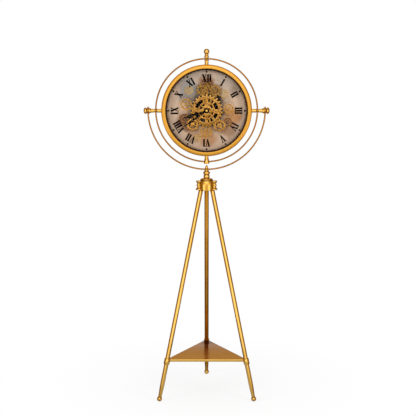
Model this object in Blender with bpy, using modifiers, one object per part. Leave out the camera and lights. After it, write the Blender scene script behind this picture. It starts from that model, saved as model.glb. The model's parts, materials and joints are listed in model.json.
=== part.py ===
"""A tripod floor clock: a round clock head with open gears that tilts in a half ring on three legs.

Metres, +Z up, the dial faces -Y. The origin is on the floor, in the middle of the clock's box.
In the head, "forward" is a distance towards the viewer from the plane of the tilt axis.
"""
import math

import bmesh
import bpy
from mathutils import Matrix, Vector

# Fits
gap = 0.0003  # between pieces that seat on each other
running_gap = 0.0003  # round a shaft in its bore
overrun = 0.004  # how far a cutter runs past what it cuts
weld_distance = 0.00002  # points nearer than this are one point

# Feet and legs
foot_circle_radius = 0.236  # tripod axis to the middle of each foot
foot_ball_radius = 0.011
foot_flat_radius = 0.004  # the flat that each foot stands on
foot_spigot_length = 0.015
leg_diameter = 0.019
leg_wall = 0.0015
leg_tip_diameter = 0.0152
leg_taper_length = 0.045
leg_socket_depth = 0.030
leg_top_radius = 0.0245  # tripod axis to each leg's axis at the hub's underside
front_foot_angle = math.radians(60)  # from straight ahead
front_ear_angle = math.radians(90)

# Hub with three ears
hub_underside_height = 0.9062
hub_height = 0.0423
hub_radius = 0.0292
hub_edge = 0.0015
ear_centre_radius = 0.032  # tripod axis to the middle of each ear
ear_lip_radius = 0.0132
ear_waist_radius = 0.0085
ear_foot_radius = 0.0147
ear_lip_height = 0.006
ear_slope_height = 0.005
ear_foot_height = 0.0055
ear_drop = 0.0006  # the ear's top below the hub's top
ear_floor = 0.0015  # the ear's foot above the hub's underside
bolt_height = 0.021  # above the hub's underside
bolt_head_radius = 0.0055
bolt_head_height = 0.0045
bolt_shank_radius = 0.0025
bolt_seat_depth = 0.0012  # spot face cut into the ear's waist
bolt_dome_shares = ((0.5, 0.86), (0.87, 0.5))  # of the head's radius, then of its height

# Hub cap, a turned flange with two beads and a stud
cap_flange_radius = 0.0278
cap_flange_height = 0.011
cap_rim_height = 0.003
cap_neck_radius = 0.0112
lower_bead_radius = 0.0134
lower_bead_height = 0.0135
upper_bead_radius = 0.0150
upper_bead_height = 0.0155
cap_seat_radius = 0.009
cap_seat_height = 0.0033
cap_stud_radius = 0.0026

# Half ring (yoke), and the spire nut that clamps it
rod_diameter = 0.0065  # of the half ring and of the hoop
yoke_standoff = 0.0328  # hoop's centre line to the half ring's
yoke_horn = 0.017  # how far each end rises above the tilt axis
yoke_eye_radius = 0.010
yoke_eye_thickness = 0.0075
yoke_boss_radius = 0.008
yoke_boss_height = 0.008
spire_radius = 0.0065
spire_height = 0.0142
spire_bore_depth = 0.007
spire_shares = ((0.22, 0.97), (0.46, 0.80), (0.69, 0.62), (0.92, 0.42))  # of its radius, of its height

# Shelf and its clamps
shelf_top_height = 0.181
shelf_depth = 0.010
shelf_sheet = 0.0015
shelf_overhang = 0.003  # edge beyond the line through two legs
collar_radius = 0.0125
collar_height = 0.024
collar_rise = 0.003  # collar above the shelf's top
lug_width = 0.010
lug_reach = 0.028  # leg axis to the end of the lug
lug_thickness = 0.004

# Case of the head
case_radius = 0.187
case_wall = 0.0015
case_depth = 0.0534
ledge_width = 0.0095  # of the dial ledge and of the rear rim
bezel_forward = 0.036  # front of the bezel
bezel_overlap = 0.003  # bezel's skirt outside the case
bezel_skirt_length = 0.024
bezel_opening_margin = 0.014  # case's outside to the bezel's opening
bezel_flat_width = 0.0085
bezel_bevel_width = 0.0068
bezel_bevel_drop = 0.0026
bezel_edge_drop = 0.0048
bezel_inner_edge = 0.0008
bezel_lip_depth = 0.009
glass_margin = 0.007  # case's outside to the glass's edge
glass_thickness = 0.003
gasket_width = 0.007
gasket_thickness = 0.0016
inner_ring_mouth_margin = 0.0135  # case's outside to the conical ring's front opening
inner_ring_dial_margin = 0.021
dial_setback = 0.0257  # back of the glass to the dial's face
dial_thickness = 0.002
cover_margin = 0.003  # case's outside to the cover's edge
cover_sheet = 0.0015
cover_rim_width = 0.049  # cover's edge to its dish
cover_dish_depth = 0.003

# Hoop and what clamps it
hoop_standoff = 0.0278  # case's outside to the hoop's centre line
hoop_boss_radius = 0.0052
hoop_boss_length = 0.0082
stud_radius = 0.0021
stud_reach = 0.006  # how far a stud goes into what it clamps
stem_radius = 0.008
stem_root_radius = 0.0095
stem_root_length = 0.003
stem_flare_radius = 0.0108
stem_flare_length = 0.003
finial_nut_radius = 0.0103
finial_nut_height = 0.0042
finial_neck_radius = 0.0068
finial_bead_radius = 0.0090
finial_bead_height = 0.006
finial_ball_radius = 0.012
finial_ball_lift = 0.0248  # ball's middle above the nut's base
bell_rim_radius = 0.0112
bell_radius = 0.012
bell_wall = 0.0009
bell_skirt = 0.0097  # rim to the nut's floor
bell_crown = 0.0058
bell_bore_depth = 0.0034
bell_crown_shares = ((0.7, 0.92), (1.0, 0.55))  # of its radius, then of its crown
sleeve_flare_radius = 0.012
sleeve_flare_length = 0.0032
sleeve_cone_length = 0.006
pivot_radius = 0.004
pivot_reach = 0.0085  # pin inside the knob
knob_radius = 0.0143
knob_width = 0.0152
knob_face_radius = 0.0105
knob_dome_share = 0.62  # of its width

# Layers in front of the dial
carrier_thickness = 0.0022
layer_gap = 0.001
wheel_thickness = 0.0025
bridge_thickness = 0.0016
nut_thickness = 0.0021
nut_radius = 0.0088
hand_thickness = 0.001
hand_gap = 0.001
second_thickness = 0.0008

# Gears
fine_module = 0.0025
fine_wheel_teeth = 46
side_wheel_teeth = 20
coarse_module = 0.005
coarse_wheel_teeth = 26
left_pinion_teeth = 9
right_pinion_teeth = 10
fine_tooth_shares = ((-1.15, 0.29), (0.92, 0.10))  # shares of the module, then of the pitch
coarse_tooth_shares = ((-0.95, 0.30), (0.75, 0.10))
drive_wheel_angle = math.radians(225.6)  # clockwise from twelve
idler_angle = math.radians(138.5)
left_pinion_angle = math.radians(-13.6)
right_pinion_angle = math.radians(23.8)
centre_tube_radius = 0.0075
post_radius = 0.002
post_head_radius = 0.0034
post_head_height = 0.0013
post_foot_radius = 0.0042
carrier_disc_radius = 0.026
carrier_arm_width = 0.010
carrier_pad_radius = 0.008
spindle_radius = 0.0022
spindle_reach = 0.005  # spindle inside the motor
outer_window_radii = (0.036, 0.050)
inner_window_radii = (0.022, 0.030)
coarse_window_radii = (0.021, 0.052)
side_window_radii = (0.009, 0.0175)
pinion_window_radii = (0.0065, 0.0135)
spoke_width = 0.006
thin_spoke_width = 0.004
wide_spoke_width = 0.012
outer_window_turn = math.radians(18)
inner_window_turn = math.radians(48)
main_windows = 6
coarse_windows = 4
side_windows = 3
left_pinion_windows = 3
right_pinion_windows = 5
bridge_place = (0.003, 0.108)  # its post
bridge_width = 0.006
bridge_feet = ((-0.024, 0.066), (0.028, 0.066))
bridge_pad_radius = 0.0055

# Movement, motor and batteries
bush_wall = 0.0014
movement_side = 0.056
movement_depth = 0.016
movement_edge = 0.002
battery_radius = 0.0071
battery_length = 0.0485
battery_nub_radius = 0.0027
battery_nub_length = 0.0015
battery_offset = 0.017  # below the middle of the movement
battery_sink = 0.011  # depth of the battery's bay
setting_knob_radius = 0.0062
setting_knob_height = 0.0055
setting_pin_radius = 0.0015
setting_pin_length = 0.005
setting_knob_place = (0.012, 0.011)
motor_width = 0.044
motor_height = 0.062
motor_depth = 0.017
motor_battery_offset = 0.011
window_margin = 0.004  # cover window round a box

# Hands
hour_length = 0.100
hour_half_width = 0.0068
hour_hub_radius = 0.0085
hour_tube_radius = 0.0032
minute_length = 0.119
minute_half_width = 0.0046
minute_hub_radius = 0.0075
minute_tube_radius = 0.0019
second_length = 0.089
second_half_width = 0.0012
second_hub_radius = 0.0045
second_pin_radius = 0.0007
tube_wall = 0.0009
hub_proud = 0.0001  # hub faces stand this far off the blade's faces
cap_height = 0.0011
tube_stop = 0.0018  # tubes end this far inside the movement's bush
hour_angle = math.radians(252)
minute_angle = math.radians(235.5)
second_angle = math.radians(306)
# along the blade as a share of its length, then half width as a share of the greatest
hour_blade_shares = (
    (0.05, 0.42), (0.15, 0.24), (0.36, 0.22), (0.40, 0.62), (0.435, 0.95), (0.47, 0.98), (0.51, 0.70),
    (0.545, 0.30), (0.60, 0.55), (0.70, 1.00), (0.80, 0.62), (0.88, 0.22), (1.0, 0.06),
)
hour_leaf_shares = ((0.62, 0.10), (0.70, 0.55), (0.79, 0.18))
minute_blade_shares = (
    (-0.14, 0.55), (-0.08, 0.40), (0.0, 0.40), (0.12, 0.30), (0.40, 0.34), (0.46, 0.85), (0.52, 0.42),
    (0.58, 0.95), (0.68, 0.80), (0.78, 0.30), (1.0, 0.08),
)
minute_leaf_shares = ((0.56, 0.14), (0.61, 0.48), (0.69, 0.12))
second_blade_shares = ((-0.22, 1.0), (0.0, 0.9), (0.55, 0.5), (1.0, 0.3))

# Facets
ring_steps = 36
hub_steps = 24
turned_steps = 12
small_steps = 12
tiny_steps = 8
bead_points = 5
ball_points = 7
rod_sides = 6
nut_sides = 6
window_points = 4  # along one side of a wheel's window
narrow_window_points = 3
wide_window_points = 5
tip_points = 5  # round the end of a bar
yoke_points = 33
smooth_angle = math.radians(35)

# Places that follow from the sizes above
hoop_radius = case_radius + hoop_standoff
yoke_radius = hoop_radius + yoke_standoff
bezel_opening_radius = case_radius - bezel_opening_margin
glass_radius = case_radius - glass_margin
inner_ring_mouth_radius = case_radius - inner_ring_mouth_margin
inner_ring_dial_radius = case_radius - inner_ring_dial_margin
cover_radius = case_radius - cover_margin
cover_dish_radius = cover_radius - cover_rim_width
foot_ball_height = math.sqrt(foot_ball_radius**2 - foot_flat_radius**2)
cap_body_height = cap_flange_height + lower_bead_height + upper_bead_height + cap_seat_height
hub_top_height = hub_underside_height + hub_height
yoke_foot_height = hub_top_height + gap + cap_body_height + gap
axis_height = yoke_foot_height + yoke_boss_height / 2 + yoke_radius
rod_radius = rod_diameter / 2
leg_radius = leg_diameter / 2
leg_tip_radius = leg_tip_diameter / 2
case_inside_radius = case_radius - case_wall
glass_back = bezel_forward - bezel_lip_depth - gap - glass_thickness
case_front = glass_back - gap
case_back = case_front - case_depth
dial_front = glass_back - dial_setback
dial_back = dial_front - dial_thickness
carrier_front = dial_front + gap + carrier_thickness
coarse_back = carrier_front + layer_gap
fine_back = coarse_back + wheel_thickness + layer_gap
fine_front = fine_back + wheel_thickness
bridge_back = fine_front + layer_gap
nut_back = fine_front + layer_gap
hour_back = nut_back + nut_thickness + hand_gap
minute_back = hour_back + hand_thickness + hand_gap
second_back = minute_back + hand_thickness + hand_gap
movement_front = dial_back - gap
tube_end = movement_front - tube_stop
bush_bore = hour_tube_radius + running_gap
bush_radius = bush_bore + bush_wall
centre_bore = bush_radius + running_gap
case_stem_foot = case_radius + gap
hoop_seat = hoop_boss_length / 2 + gap  # from the hoop's centre line to what clamps it
eye_back = yoke_radius - yoke_eye_thickness / 2
eye_front = yoke_radius + yoke_eye_thickness / 2

# sRGB finish, metallic, roughness
FINISHES = {
    "gold": ("B98A36", 1.0, 0.28),
    "bezel": ("DD9C2C", 1.0, 0.38),
    "steel": ("A9A9A6", 1.0, 0.35),
    "brass": ("D9A441", 1.0, 0.30),
    "black": ("141210", 0.0, 0.5),
    "glass": ("F4F6F5", 0.0, 0.05),
    "dial": ("B99A7C", 0.0, 0.7),
    "rubber": ("1E1C1B", 0.0, 0.9),
    "shade": ("2E1C10", 0.0, 0.6),
    "battery": ("4A4F55", 0.2, 0.4),
}


def srgb_to_linear(pair):
    """One channel of a hex colour as a linear value."""
    value = int(pair, 16) / 255
    return value / 12.92 if value <= 0.04045 else ((value + 0.055) / 1.055) ** 2.4


def make_material(name, finish):
    """The piece's own Principled material from one of the finishes."""
    colour, metallic, roughness = FINISHES[finish]
    material = bpy.data.materials.new(name)
    material.use_nodes = True
    shader = material.node_tree.nodes["Principled BSDF"]
    channels = [srgb_to_linear(colour[i:i + 2]) for i in (0, 2, 4)]
    shader.inputs["Base Color"].default_value = (*channels, 1.0)
    shader.inputs["Metallic"].default_value = metallic
    shader.inputs["Roughness"].default_value = roughness
    return material


for old in list(bpy.data.objects):
    bpy.data.objects.remove(old, do_unlink=True)

parts = bpy.data.collections.new("tripod_floor_clock")
cutters = bpy.data.collections.new("tripod_floor_clock_cutters")
bpy.context.scene.collection.children.link(parts)
bpy.context.scene.collection.children.link(cutters)


def add_empty(name, parent=None, location=(0, 0, 0), rotation=(0, 0, 0)):
    """A frame that pieces hang on."""
    empty = bpy.data.objects.new(name, None)
    empty.location = location
    empty.rotation_euler = rotation
    empty.parent = parent
    cutters.objects.link(empty)
    return empty


def add_piece(name, mesh, finish, parent, location=(0, 0, 0), rotation=(0, 0, 0)):
    """A piece of the clock, or with no finish a tool that cuts or joins one."""
    piece = bpy.data.objects.new(name, mesh)
    piece.location = location
    piece.rotation_euler = rotation
    piece.parent = parent
    if finish:
        mesh.materials.append(make_material(name + "_finish", finish))
        parts.objects.link(piece)
    else:
        piece.hide_render = True
        piece.display_type = "WIRE"
        cutters.objects.link(piece)
    return piece


def turned(name, profile, finish, parent, steps=turned_steps, location=(0, 0, 0)):
    """A profile of (radius, height), outer side downwards, turned about the local Z axis."""
    mesh = bpy.data.meshes.new(name)
    count = len(profile)
    edges = [(i, i + 1) for i in range(count - 1)]
    if profile[0][0] > 0:
        edges.append((count - 1, 0))
    mesh.from_pydata([(radius, 0, height) for radius, height in profile], edges, [])
    piece = add_piece(name, mesh, finish, parent, location)
    screw = piece.modifiers.new("turn", "SCREW")
    screw.steps = steps
    screw.render_steps = steps
    screw.use_merge_vertices = True
    screw.merge_threshold = weld_distance
    return piece


def cylinder(name, radius, bottom, top, finish, parent, location=(0, 0), steps=small_steps):
    """A plain cylinder from bottom to top along the local Z axis."""
    mesh = bpy.data.meshes.new(name)
    shape = bmesh.new()
    bmesh.ops.create_cone(
        shape, cap_ends=True, segments=steps, radius1=radius, radius2=radius, depth=top - bottom,
        matrix=Matrix.Translation((0, 0, (top + bottom) / 2)),
    )
    shape.to_mesh(mesh)
    shape.free()
    return add_piece(name, mesh, finish, parent, (location[0], location[1], 0))


def box(name, low, high, finish, parent, edge=0):
    """A block between two corners, with its edges rounded by edge."""
    mesh = bpy.data.meshes.new(name)
    shape = bmesh.new()
    size = Vector(high) - Vector(low)
    middle = (Vector(high) + Vector(low)) / 2
    bmesh.ops.create_cube(shape, size=1, matrix=Matrix.Translation(middle) @ Matrix.Diagonal((*size, 1)))
    shape.to_mesh(mesh)
    shape.free()
    piece = add_piece(name, mesh, finish, parent)
    if edge > 0:
        bevel = piece.modifiers.new("edges", "BEVEL")
        bevel.width = edge
        bevel.segments = 1
    return piece


def flat_piece(name, loops, thickness, finish, parent, forward=0, place=(0, 0)):
    """Closed outlines filled as one plate; its back face is at forward on the local Z axis."""
    curve = bpy.data.curves.new(name, "CURVE")
    curve.dimensions = "2D"
    curve.fill_mode = "BOTH"
    curve.extrude = thickness / 2
    for loop in loops:
        spline = curve.splines.new("POLY")
        spline.points.add(len(loop) - 1)
        for point, (x, y) in zip(spline.points, loop):
            point.co = (x, y, 0, 1)
        spline.use_cyclic_u = True
    sketch = bpy.data.objects.new(name + "_sketch", curve)
    cutters.objects.link(sketch)
    mesh = curve_to_mesh(sketch, name)
    return add_piece(name, mesh, finish, parent, (place[0], place[1], forward + thickness / 2))


def curve_to_mesh(sketch, name):
    """The evaluated curve as a welded mesh; the curve is removed."""
    bpy.context.view_layer.update()
    depsgraph = bpy.context.evaluated_depsgraph_get()
    mesh = bpy.data.meshes.new_from_object(sketch.evaluated_get(depsgraph))
    mesh.name = name
    shape = bmesh.new()
    shape.from_mesh(mesh)
    bmesh.ops.remove_doubles(shape, verts=shape.verts, dist=weld_distance)
    bmesh.ops.recalc_face_normals(shape, faces=shape.faces)
    shape.to_mesh(mesh)
    shape.free()
    bpy.data.objects.remove(sketch, do_unlink=True)
    return mesh


def join(piece, tool):
    """Fuse the tool to the piece."""
    boolean = piece.modifiers.new("join " + tool.name, "BOOLEAN")
    boolean.operation = "UNION"
    boolean.object = tool


def cut(piece, tool):
    """Cut the tool out of the piece."""
    boolean = piece.modifiers.new("cut " + tool.name, "BOOLEAN")
    boolean.operation = "DIFFERENCE"
    boolean.object = tool


def bead(radius, neck_radius, bottom, height):
    """Points down the outside of a round bead between two necks."""
    points = []
    for i in range(bead_points):
        angle = math.pi * (i / (bead_points - 1) - 1 / 2)
        middle = bottom + height / 2
        swell = (radius - neck_radius) * math.cos(angle)
        points.append((neck_radius + swell, middle - height / 2 * math.sin(angle)))
    return points


def arc(radius, first, last, count, centre=(0, 0)):
    """Points on an arc, both ends included."""
    turn = (last - first) / max(count - 1, 1)
    angles = [first + i * turn for i in range(count)]
    return [(centre[0] + radius * math.cos(a), centre[1] + radius * math.sin(a)) for a in angles]


def circle(radius, count, centre=(0, 0)):
    """Points round a circle."""
    return arc(radius, 0, math.tau * (count - 1) / count, count, centre)


def face_place(distance, clock_angle):
    """A place on the dial, from the distance to its centre and the angle clockwise from twelve."""
    return distance * math.sin(clock_angle), distance * math.cos(clock_angle)


# Frames: the tripod's axis, the tilt axis, the dial's face, and one for each way out of the case
tripod_axis = add_empty("tripod_axis", None, (0, -foot_circle_radius / 4, 0))
tilt_axis = add_empty("tilt_axis", tripod_axis, (0, 0, axis_height))
head_face = add_empty("head_face", tilt_axis, (0, 0, 0), (math.pi / 2, 0, 0))
SIDES = {
    "right": add_empty("side_right", tilt_axis, (0, 0, 0), (0, math.pi / 2, 0)),
    "left": add_empty("side_left", tilt_axis, (0, 0, 0), (0, -math.pi / 2, 0)),
    "top": add_empty("side_top", tilt_axis),
    "bottom": add_empty("side_bottom", tilt_axis, (0, 0, 0), (math.pi, 0, 0)),
}
LEGS = {
    "left": (-front_foot_angle, -front_ear_angle),
    "right": (front_foot_angle, front_ear_angle),
    "rear": (math.pi, math.pi),
}


def leg_ends(which):
    """The middle of the foot, and the point where the leg's axis meets the hub's underside."""
    foot_angle, ear_angle = LEGS[which]
    foot = Vector((math.sin(foot_angle), -math.cos(foot_angle), 0)) * foot_circle_radius
    foot.z = foot_ball_height
    top = Vector((math.sin(ear_angle), -math.cos(ear_angle), 0)) * leg_top_radius
    top.z = hub_underside_height
    return foot, top


def leg_point(which, height):
    """Where the leg's axis passes a height."""
    foot, top = leg_ends(which)
    return foot + (top - foot) * ((height - foot.z) / (top.z - foot.z))


LEG_LINES = {}
for side in LEGS:
    foot_end, top_end = leg_ends(side)
    turn = (top_end - foot_end).to_track_quat("Z", "Y").to_euler()
    LEG_LINES[side] = add_empty("leg_line_" + side, tripod_axis, foot_end, turn)


def make_leg(which):
    """A steel tube, swaged to a thinner tip that sits on the ball foot."""
    line = LEG_LINES[which]
    foot, top = leg_ends(which)
    tip_bore = leg_tip_radius - leg_wall
    bottom = math.sqrt(foot_ball_radius**2 - tip_bore**2) + gap
    upper = (top - foot).length + leg_socket_depth - gap
    shoulder = bottom + leg_taper_length
    turned("leg_" + which, [
        (leg_radius, upper), (leg_radius, shoulder), (leg_tip_radius, bottom),
        (tip_bore, bottom), (leg_radius - leg_wall, shoulder), (leg_radius - leg_wall, upper),
    ], "gold", line)

    # The foot is turned on the leg's line, then cut flat at the floor
    spigot = tip_bore - gap
    start = math.asin(spigot / foot_ball_radius)
    profile = [(0, bottom + foot_spigot_length), (spigot, bottom + foot_spigot_length)]
    count = ball_points
    for i in range(count):
        angle = start + (math.pi - start) * i / (count - 1)
        profile.append((foot_ball_radius * math.sin(angle), foot_ball_radius * math.cos(angle)))
    profile[-1] = (0, -foot_ball_radius)
    ball = turned("foot_" + which, profile, "gold", line)
    reach = foot_ball_radius + overrun
    floor = box(
        "floor_cut_" + which, (foot.x - reach, foot.y - reach, -reach), (foot.x + reach, foot.y + reach, 0),
        None, tripod_axis,
    )
    cut(ball, floor)


def make_clamp(which):
    """A collar round the leg with a lug that carries the shelf's corner."""
    line = LEG_LINES[which]
    top = shelf_top_height + collar_rise
    middle = leg_point(which, top - collar_height / 2)
    foot, _ = leg_ends(which)
    along = (middle - foot).length
    clamp = cylinder(
        "shelf_clamp_" + which, collar_radius, along - collar_height / 2, along + collar_height / 2,
        "gold", line, (0, 0), turned_steps,
    )
    level = shelf_top_height - shelf_sheet - gap
    centre = leg_point(which, level)
    inward = math.atan2(-centre.y, -centre.x)
    lug_frame = add_empty("lug_frame_" + which, tripod_axis, (centre.x, centre.y, level), (0, 0, inward))
    lug = box(
        "lug_" + which, (0, -lug_width / 2, -lug_thickness), (lug_reach, lug_width / 2, 0), None, lug_frame,
    )
    join(clamp, lug)
    bore = cylinder(
        "clamp_bore_" + which, leg_radius + gap, along - collar_height, along + collar_height,
        None, line, (0, 0), turned_steps,
    )
    cut(clamp, bore)


def offset_triangle(corners, offset):
    """The triangle with each side moved outwards by offset."""
    centre = sum(corners, Vector((0, 0))) / len(corners)
    sides = []
    for i, corner in enumerate(corners):
        along = (corners[(i + 1) % len(corners)] - corner).normalized()
        outward = Vector((along.y, -along.x))
        if outward.dot(corner - centre) < 0:
            outward = -outward
        sides.append((corner + outward * offset, along))
    moved = []
    for i in range(len(corners)):
        (point_a, along_a), (point_b, along_b) = sides[i - 1], sides[i]
        cross = along_a.x * along_b.y - along_a.y * along_b.x
        between = point_b - point_a
        reach = (between.x * along_b.y - between.y * along_b.x) / cross
        moved.append(point_a + along_a * reach)
    return moved


def make_shelf():
    """A triangular tray of sheet folded down at its edges, with a notch round each collar."""
    corners = [leg_point(side, shelf_top_height).to_2d() for side in ("left", "right", "rear")]
    outline = offset_triangle(corners, shelf_overhang)
    inside = offset_triangle(corners, shelf_overhang - shelf_sheet)
    shelf = flat_piece(
        "shelf", [[tuple(p) for p in outline]], shelf_depth, "gold", tripod_axis,
        shelf_top_height - shelf_depth,
    )
    hollow = flat_piece(
        "shelf_hollow", [[tuple(p) for p in inside]], shelf_depth, None, tripod_axis,
        shelf_top_height - shelf_sheet - shelf_depth,
    )
    cut(shelf, hollow)
    for side in LEGS:
        centre = leg_point(side, shelf_top_height)
        foot, _ = leg_ends(side)
        along = (centre - foot).length
        notch = cylinder(
            "shelf_notch_" + side, collar_radius + gap, along - collar_height, along + collar_height,
            None, LEG_LINES[side], (0, 0), turned_steps,
        )
        cut(shelf, notch)


def make_hub():
    """The drum that takes the legs, with a spool-shaped ear over each, and the dome bolts."""
    edge = hub_edge
    hub = turned("hub", [
        (0, hub_height), (hub_radius - edge, hub_height), (hub_radius, hub_height - edge),
        (hub_radius, edge), (hub_radius - edge, 0), (0, 0),
    ], "gold", tripod_axis, hub_steps, (0, 0, hub_underside_height))
    ear_top = hub_height - ear_drop
    ear_profile = [
        (0, ear_top), (ear_lip_radius - edge, ear_top), (ear_lip_radius, ear_top - edge),
        (ear_lip_radius, ear_top - ear_lip_height),
        (ear_waist_radius, ear_top - ear_lip_height - ear_slope_height),
        (ear_waist_radius, ear_floor + ear_foot_height + ear_slope_height),
        (ear_foot_radius, ear_floor + ear_foot_height), (ear_foot_radius, ear_floor + edge),
        (ear_foot_radius - edge, ear_floor), (0, ear_floor),
    ]
    seat = ear_centre_radius + ear_waist_radius - bolt_seat_depth
    for side, (_, ear_angle) in LEGS.items():
        out = Vector((math.sin(ear_angle), -math.cos(ear_angle), 0)) * ear_centre_radius
        ear = turned(
            "ear_" + side, ear_profile, None, tripod_axis, small_steps,
            (out.x, out.y, hub_underside_height),
        )
        join(hub, ear)
    for side, (_, ear_angle) in LEGS.items():
        foot, top = leg_ends(side)
        length = (top - foot).length
        socket = cylinder(
            "leg_socket_" + side, leg_radius + gap, length - collar_height, length + leg_socket_depth,
            None, LEG_LINES[side], (0, 0), turned_steps,
        )
        cut(hub, socket)
        bolt_line = add_empty(
            "bolt_line_" + side, tripod_axis, (0, 0, hub_underside_height + bolt_height),
            (math.pi / 2, 0, ear_angle),
        )
        spot_face = cylinder(
            "bolt_seat_" + side, bolt_head_radius + gap, seat, seat + bolt_head_radius, None, bolt_line,
        )
        cut(hub, spot_face)
        leg = top - foot
        slope = leg.to_2d().length / leg.z
        level = leg_point(side, hub_underside_height + bolt_height)
        tip = level.to_2d().length + leg_radius * math.hypot(1, slope) + bolt_shank_radius * slope + gap
        bolt_hole = cylinder(
            "bolt_hole_" + side, bolt_shank_radius + gap, tip - leg_radius, seat + overrun, None, bolt_line,
        )
        cut(hub, bolt_hole)
        head = seat + gap
        profile = [(0, head + bolt_head_height)]
        for wide, high in bolt_dome_shares:
            profile.append((bolt_head_radius * wide, head + bolt_head_height * high))
        profile += [(bolt_head_radius, head), (bolt_shank_radius, head), (bolt_shank_radius, tip), (0, tip)]
        turned("hub_bolt_" + side, profile, "gold", bolt_line, small_steps)


def make_hub_cap():
    """Turned flange and two beads; its stud goes up through the half ring into the spire."""
    stud_top = cap_body_height + gap + yoke_boss_height + gap + spire_bore_depth - gap
    profile = [
        (0, stud_top), (cap_stud_radius, stud_top), (cap_stud_radius, cap_body_height),
        (cap_seat_radius, cap_body_height),
    ]
    upper_bottom = cap_flange_height + lower_bead_height
    profile += bead(upper_bead_radius, cap_seat_radius, upper_bottom, upper_bead_height)
    profile += bead(lower_bead_radius, cap_neck_radius, cap_flange_height, lower_bead_height)
    for i in range(1, bead_points):
        angle = math.pi / 2 * (1 - i / (bead_points - 1))
        profile.append((
            cap_neck_radius + (cap_flange_radius - cap_neck_radius) * math.cos(angle),
            cap_rim_height + (cap_flange_height - cap_rim_height) * math.sin(angle),
        ))
    profile += [(cap_flange_radius - hub_edge, 0), (0, 0)]
    turned("hub_cap", profile, "gold", tripod_axis, turned_steps, (0, 0, hub_top_height + gap))


def make_spire():
    """The pointed cap nut over the half ring."""
    bore = cap_stud_radius + running_gap
    profile = [(0, spire_height)]
    for wide, high in spire_shares:
        profile.append((spire_radius * wide, spire_height * high))
    profile += [(spire_radius, spire_radius / 2), (spire_radius, 0), (bore, 0)]
    profile += [(bore, spire_bore_depth), (0, spire_bore_depth)]
    seat = yoke_foot_height + yoke_boss_height + gap
    turned("spire", profile, "gold", tripod_axis, small_steps, (0, 0, seat))


def ring_rod(name, radius, first, last, count, finish, parent):
    """A round rod bent to an arc in the local XY plane, as a welded mesh."""
    curve = bpy.data.curves.new(name, "CURVE")
    curve.dimensions = "3D"
    curve.bevel_depth = rod_radius
    curve.bevel_resolution = (rod_sides - 4) // 2
    curve.use_fill_caps = True
    spline = curve.splines.new("POLY")
    spline.points.add(count - 1)
    for point, (x, y) in zip(spline.points, arc(radius, first, last, count)):
        point.co = (x, y, 0, 1)
    sketch = bpy.data.objects.new(name + "_sketch", curve)
    cutters.objects.link(sketch)
    return add_piece(name, curve_to_mesh(sketch, name), finish, parent)


def make_yoke():
    """The half ring: its rod ends in two drilled eyes and carries a drilled boss at the bottom."""
    horn = math.asin(yoke_horn / yoke_radius)
    yoke = ring_rod("yoke", yoke_radius, math.pi - horn, math.tau + horn, yoke_points, "gold", head_face)
    for side in ("left", "right"):
        frame = SIDES[side]
        join(yoke, cylinder("yoke_eye_" + side, yoke_eye_radius, eye_back, eye_front, None, frame))
    low = yoke_radius - yoke_boss_height / 2
    high = yoke_radius + yoke_boss_height / 2
    join(yoke, cylinder("yoke_boss", yoke_boss_radius, low, high, None, SIDES["bottom"]))
    for side in ("left", "right"):
        bore = pivot_radius + running_gap
        first, last = eye_back - overrun, eye_front + overrun
        cut(yoke, cylinder("yoke_bore_" + side, bore, first, last, None, SIDES[side]))
    stud = cap_stud_radius + running_gap
    cut(yoke, cylinder("yoke_stud_bore", stud, low - overrun, high + overrun, None, SIDES["bottom"]))


def make_hoop():
    """The full ring round the case, with a drilled boss at each of its four crossings."""
    bpy.ops.mesh.primitive_torus_add(
        major_radius=hoop_radius, minor_radius=rod_radius, major_segments=ring_steps, minor_segments=rod_sides,
    )
    made = bpy.context.object
    mesh = made.data
    bpy.data.objects.remove(made, do_unlink=True)
    hoop = add_piece("hoop", mesh, "gold", head_face)
    low = hoop_radius - hoop_boss_length / 2
    high = hoop_radius + hoop_boss_length / 2
    for side, frame in SIDES.items():
        join(hoop, cylinder("hoop_boss_" + side, hoop_boss_radius, low, high, None, frame))
    for side, frame in SIDES.items():
        bore = stud_radius + running_gap
        cut(hoop, cylinder("hoop_bore_" + side, bore, low - overrun, high + overrun, None, frame))


def stem_profile(end_radius, end_length, stud_end):
    """A stem from the case to the hoop, and its stud through the hoop."""
    foot = case_stem_foot
    seat = hoop_radius - hoop_seat
    return [
        (0, stud_end), (stud_radius, stud_end), (stud_radius, seat), (end_radius, seat),
        (end_radius, seat - end_length / 2), (stem_radius, seat - end_length),
        (stem_radius, foot + stem_root_length), (stem_root_radius, foot), (0, foot),
    ]


def make_stems():
    """The four turned stems that carry the hoop on the case."""
    reach = hoop_radius + hoop_seat + stud_reach - gap
    bell_floor = hoop_radius + hoop_seat + bell_bore_depth - gap
    profile = stem_profile(stem_flare_radius, stem_flare_length, reach)
    turned("stem_top", profile, "gold", SIDES["top"], small_steps)
    bell_fit = bell_rim_radius - bell_wall - running_gap
    profile = stem_profile(bell_fit, stem_root_radius, bell_floor)
    turned("stem_bottom", profile, "gold", SIDES["bottom"], small_steps)
    profile = stem_profile(stem_root_radius, stem_root_length / 2, reach)
    for side in ("left", "right"):
        turned("stem_" + side, profile, "gold", SIDES[side], small_steps)


def make_finial():
    """The ball finial, a cap nut on the top stem's stud."""
    seat = hoop_radius + hoop_seat
    bore = stud_radius + running_gap
    start = math.asin(finial_neck_radius / finial_ball_radius)
    profile = []
    count = 2 * bead_points - 1
    for i in range(count):
        angle = (math.pi - start) * i / (count - 1)
        radius = finial_ball_radius * math.sin(angle)
        profile.append((radius, seat + finial_ball_lift + finial_ball_radius * math.cos(angle)))
    profile += bead(finial_bead_radius, finial_neck_radius, seat + 2 * finial_nut_height, finial_bead_height)
    profile += [
        (finial_nut_radius, seat + finial_nut_height), (finial_nut_radius, seat), (bore, seat),
        (bore, seat + stud_reach), (0, seat + stud_reach),
    ]
    turned("finial", profile, "gold", SIDES["top"])


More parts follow.
